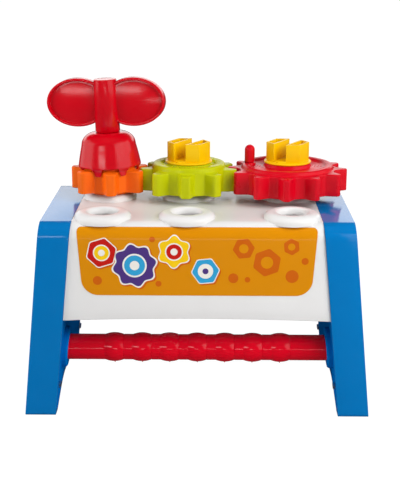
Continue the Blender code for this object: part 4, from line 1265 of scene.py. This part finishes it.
def lights():
    """Soft lamps for the shading, and bright panels that only show as reflections."""
    panel("left_soft", (-1.4, -0.25, 0.55), BENCH_MIDDLE, (0.9, 0.9), 5.4)
    panel("right_soft", (0.9, -0.75, 0.95), BENCH_MIDDLE, (0.9, 0.9), 6.6)
    panel("top_soft", (0.0, -0.4, 1.7), BENCH_MIDDLE, (1.0, 1.0), 0.9)
    panel("rear_sheen", (0.0, 2.2, 0.85), (0, 0, 0.2), (4.4, 0.75), 1.7, True)
    panel("right_sheen", (1.35, -0.56, 0.6), (0, -0.1, 0.3), (2.4, 1.3), 1.1, True)
    panel("left_sheen", (-1.6, 0.3, 0.6), (0, 0, 0.3), (2.2, 1.3), 0.8, True)
    panel("window_sheen", (-0.67, -1.23, 0.478), (-0.1, 0, 0.26), (0.6, 0.17), 4.8, True)
    panel("strip_sheen", (-0.01, -1.5, 0.13), (0, 0, 0.12), (0.66, 0.04), 7.0, True)


def panel(name, place, target, size, radiance, only_reflected=False):
    """A rectangular lamp of even brightness, wide then tall, facing a target."""
    lamp = bpy.data.lights.new(name, "AREA")
    lamp.shape = "RECTANGLE"
    lamp.size, lamp.size_y = size
    lamp.energy = radiance * pi * size[0] * size[1]
    obj = added(name, lamp)
    obj.location = place
    obj.rotation_euler = (Vector(target) - Vector(place)).to_track_quat("-Z", "Y").to_euler()
    obj.visible_camera = False
    obj.visible_diffuse = not only_reflected
    obj.visible_glossy = only_reflected


def camera():
    """The camera, from its place and its pitch, yaw and roll."""
    a, b, r = CAMERA_PITCH, CAMERA_YAW, CAMERA_ROLL
    forward = Vector((sin(b) * cos(a), cos(b) * cos(a), -sin(a)))
    right = Vector((cos(b), -sin(b), 0))
    up = right.cross(forward)
    right_rolled = cos(r) * right + sin(r) * up
    up_rolled = -sin(r) * right + cos(r) * up
    data = bpy.data.cameras.new("camera")
    data.sensor_fit = "HORIZONTAL"
    data.sensor_width = SENSOR_WIDTH
    data.lens = SENSOR_WIDTH * FOCAL_PIXELS / PICTURE_WIDTH
    obj = added("camera", data)
    turn = Matrix((right_rolled, up_rolled, -forward)).transposed().to_4x4()
    obj.matrix_world = Matrix.Translation(CAMERA_PLACE) @ turn
    bpy.context.scene.camera = obj


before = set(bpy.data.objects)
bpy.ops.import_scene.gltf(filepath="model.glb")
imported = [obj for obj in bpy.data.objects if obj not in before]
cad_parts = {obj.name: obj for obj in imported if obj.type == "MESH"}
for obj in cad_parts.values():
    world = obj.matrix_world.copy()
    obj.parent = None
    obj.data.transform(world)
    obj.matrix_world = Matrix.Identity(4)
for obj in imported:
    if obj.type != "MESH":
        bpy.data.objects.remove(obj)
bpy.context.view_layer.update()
bpy.context.scene.view_settings.view_transform = "Standard"

BACK_ROW_Y = middle("red_gear_bolt").y
AXIS = {colour: middle(f"{colour}_gear_bolt").x for colour in TEETH}
RING_PLACES = [(x, y) for y in (FRONT_ROW_Y, BACK_ROW_Y) for x in AXIS.values()]

WHITE = moulded("white plastic", srgb(232, 231, 230), 0.26, 0.008, 0.012, 0.006)
BLUE = moulded("blue plastic", srgb(0, 115, 184), 0.12, 0.02, shine=0.35)
BLUE_MATT = moulded("matt blue plastic", srgb(0, 108, 190), 0.6, 0.02, shine=0.0)
RED_BAR = moulded("red bar plastic", srgb(226, 0, 32), 0.1)
RED_GEAR = moulded("red gear plastic", srgb(212, 2, 28), 0.3, shine=0.25)
RED_KEY = moulded("red key plastic", srgb(206, 0, 22), 0.18)
GREEN = moulded("green plastic", srgb(190, 196, 2), 0.32, shine=0.2)
ORANGE = moulded("orange plastic", srgb(248, 106, 14), 0.32, shine=0.2)
YELLOW = moulded("yellow plastic", srgb(245, 196, 0), 0.32, shine=0.25)
STEEL = plated("zinc plated steel", (0.6, 0.61, 0.63))
PRINT_ORANGE = moulded("printed film", srgb(217, 138, 0), 0.18, 0.015, 0.004, shine=0.3)
PRINT_SHADE = moulded("dark orange ink", srgb(204, 96, 8), 0.18, 0.02, 0.004, shine=0.3)
INKS = {
    name: moulded(f"{name} ink", srgb(*colour), 0.2, mottling, 0.004, shine=0.35)
    for name, colour, mottling in (
        ("white", (238, 234, 226), 0.01), ("red", (196, 24, 14), 0.02), ("yellow", (246, 200, 10), 0.02),
        ("purple", (78, 54, 126), 0.02), ("blue", (50, 160, 210), 0.02),
    )
}

for side, word in ((-1, "left"), (1, "right")):
    side_frame(side, word)
tray()
printed_panel()
cross_bar()
orange_phase = gears()
for colour in TEETH:
    bolt(colour, f"{colour}_bolt")
crank()
key_bell(orange_phase)
key_handle()
kept_nodes(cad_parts)
studio()
camera()
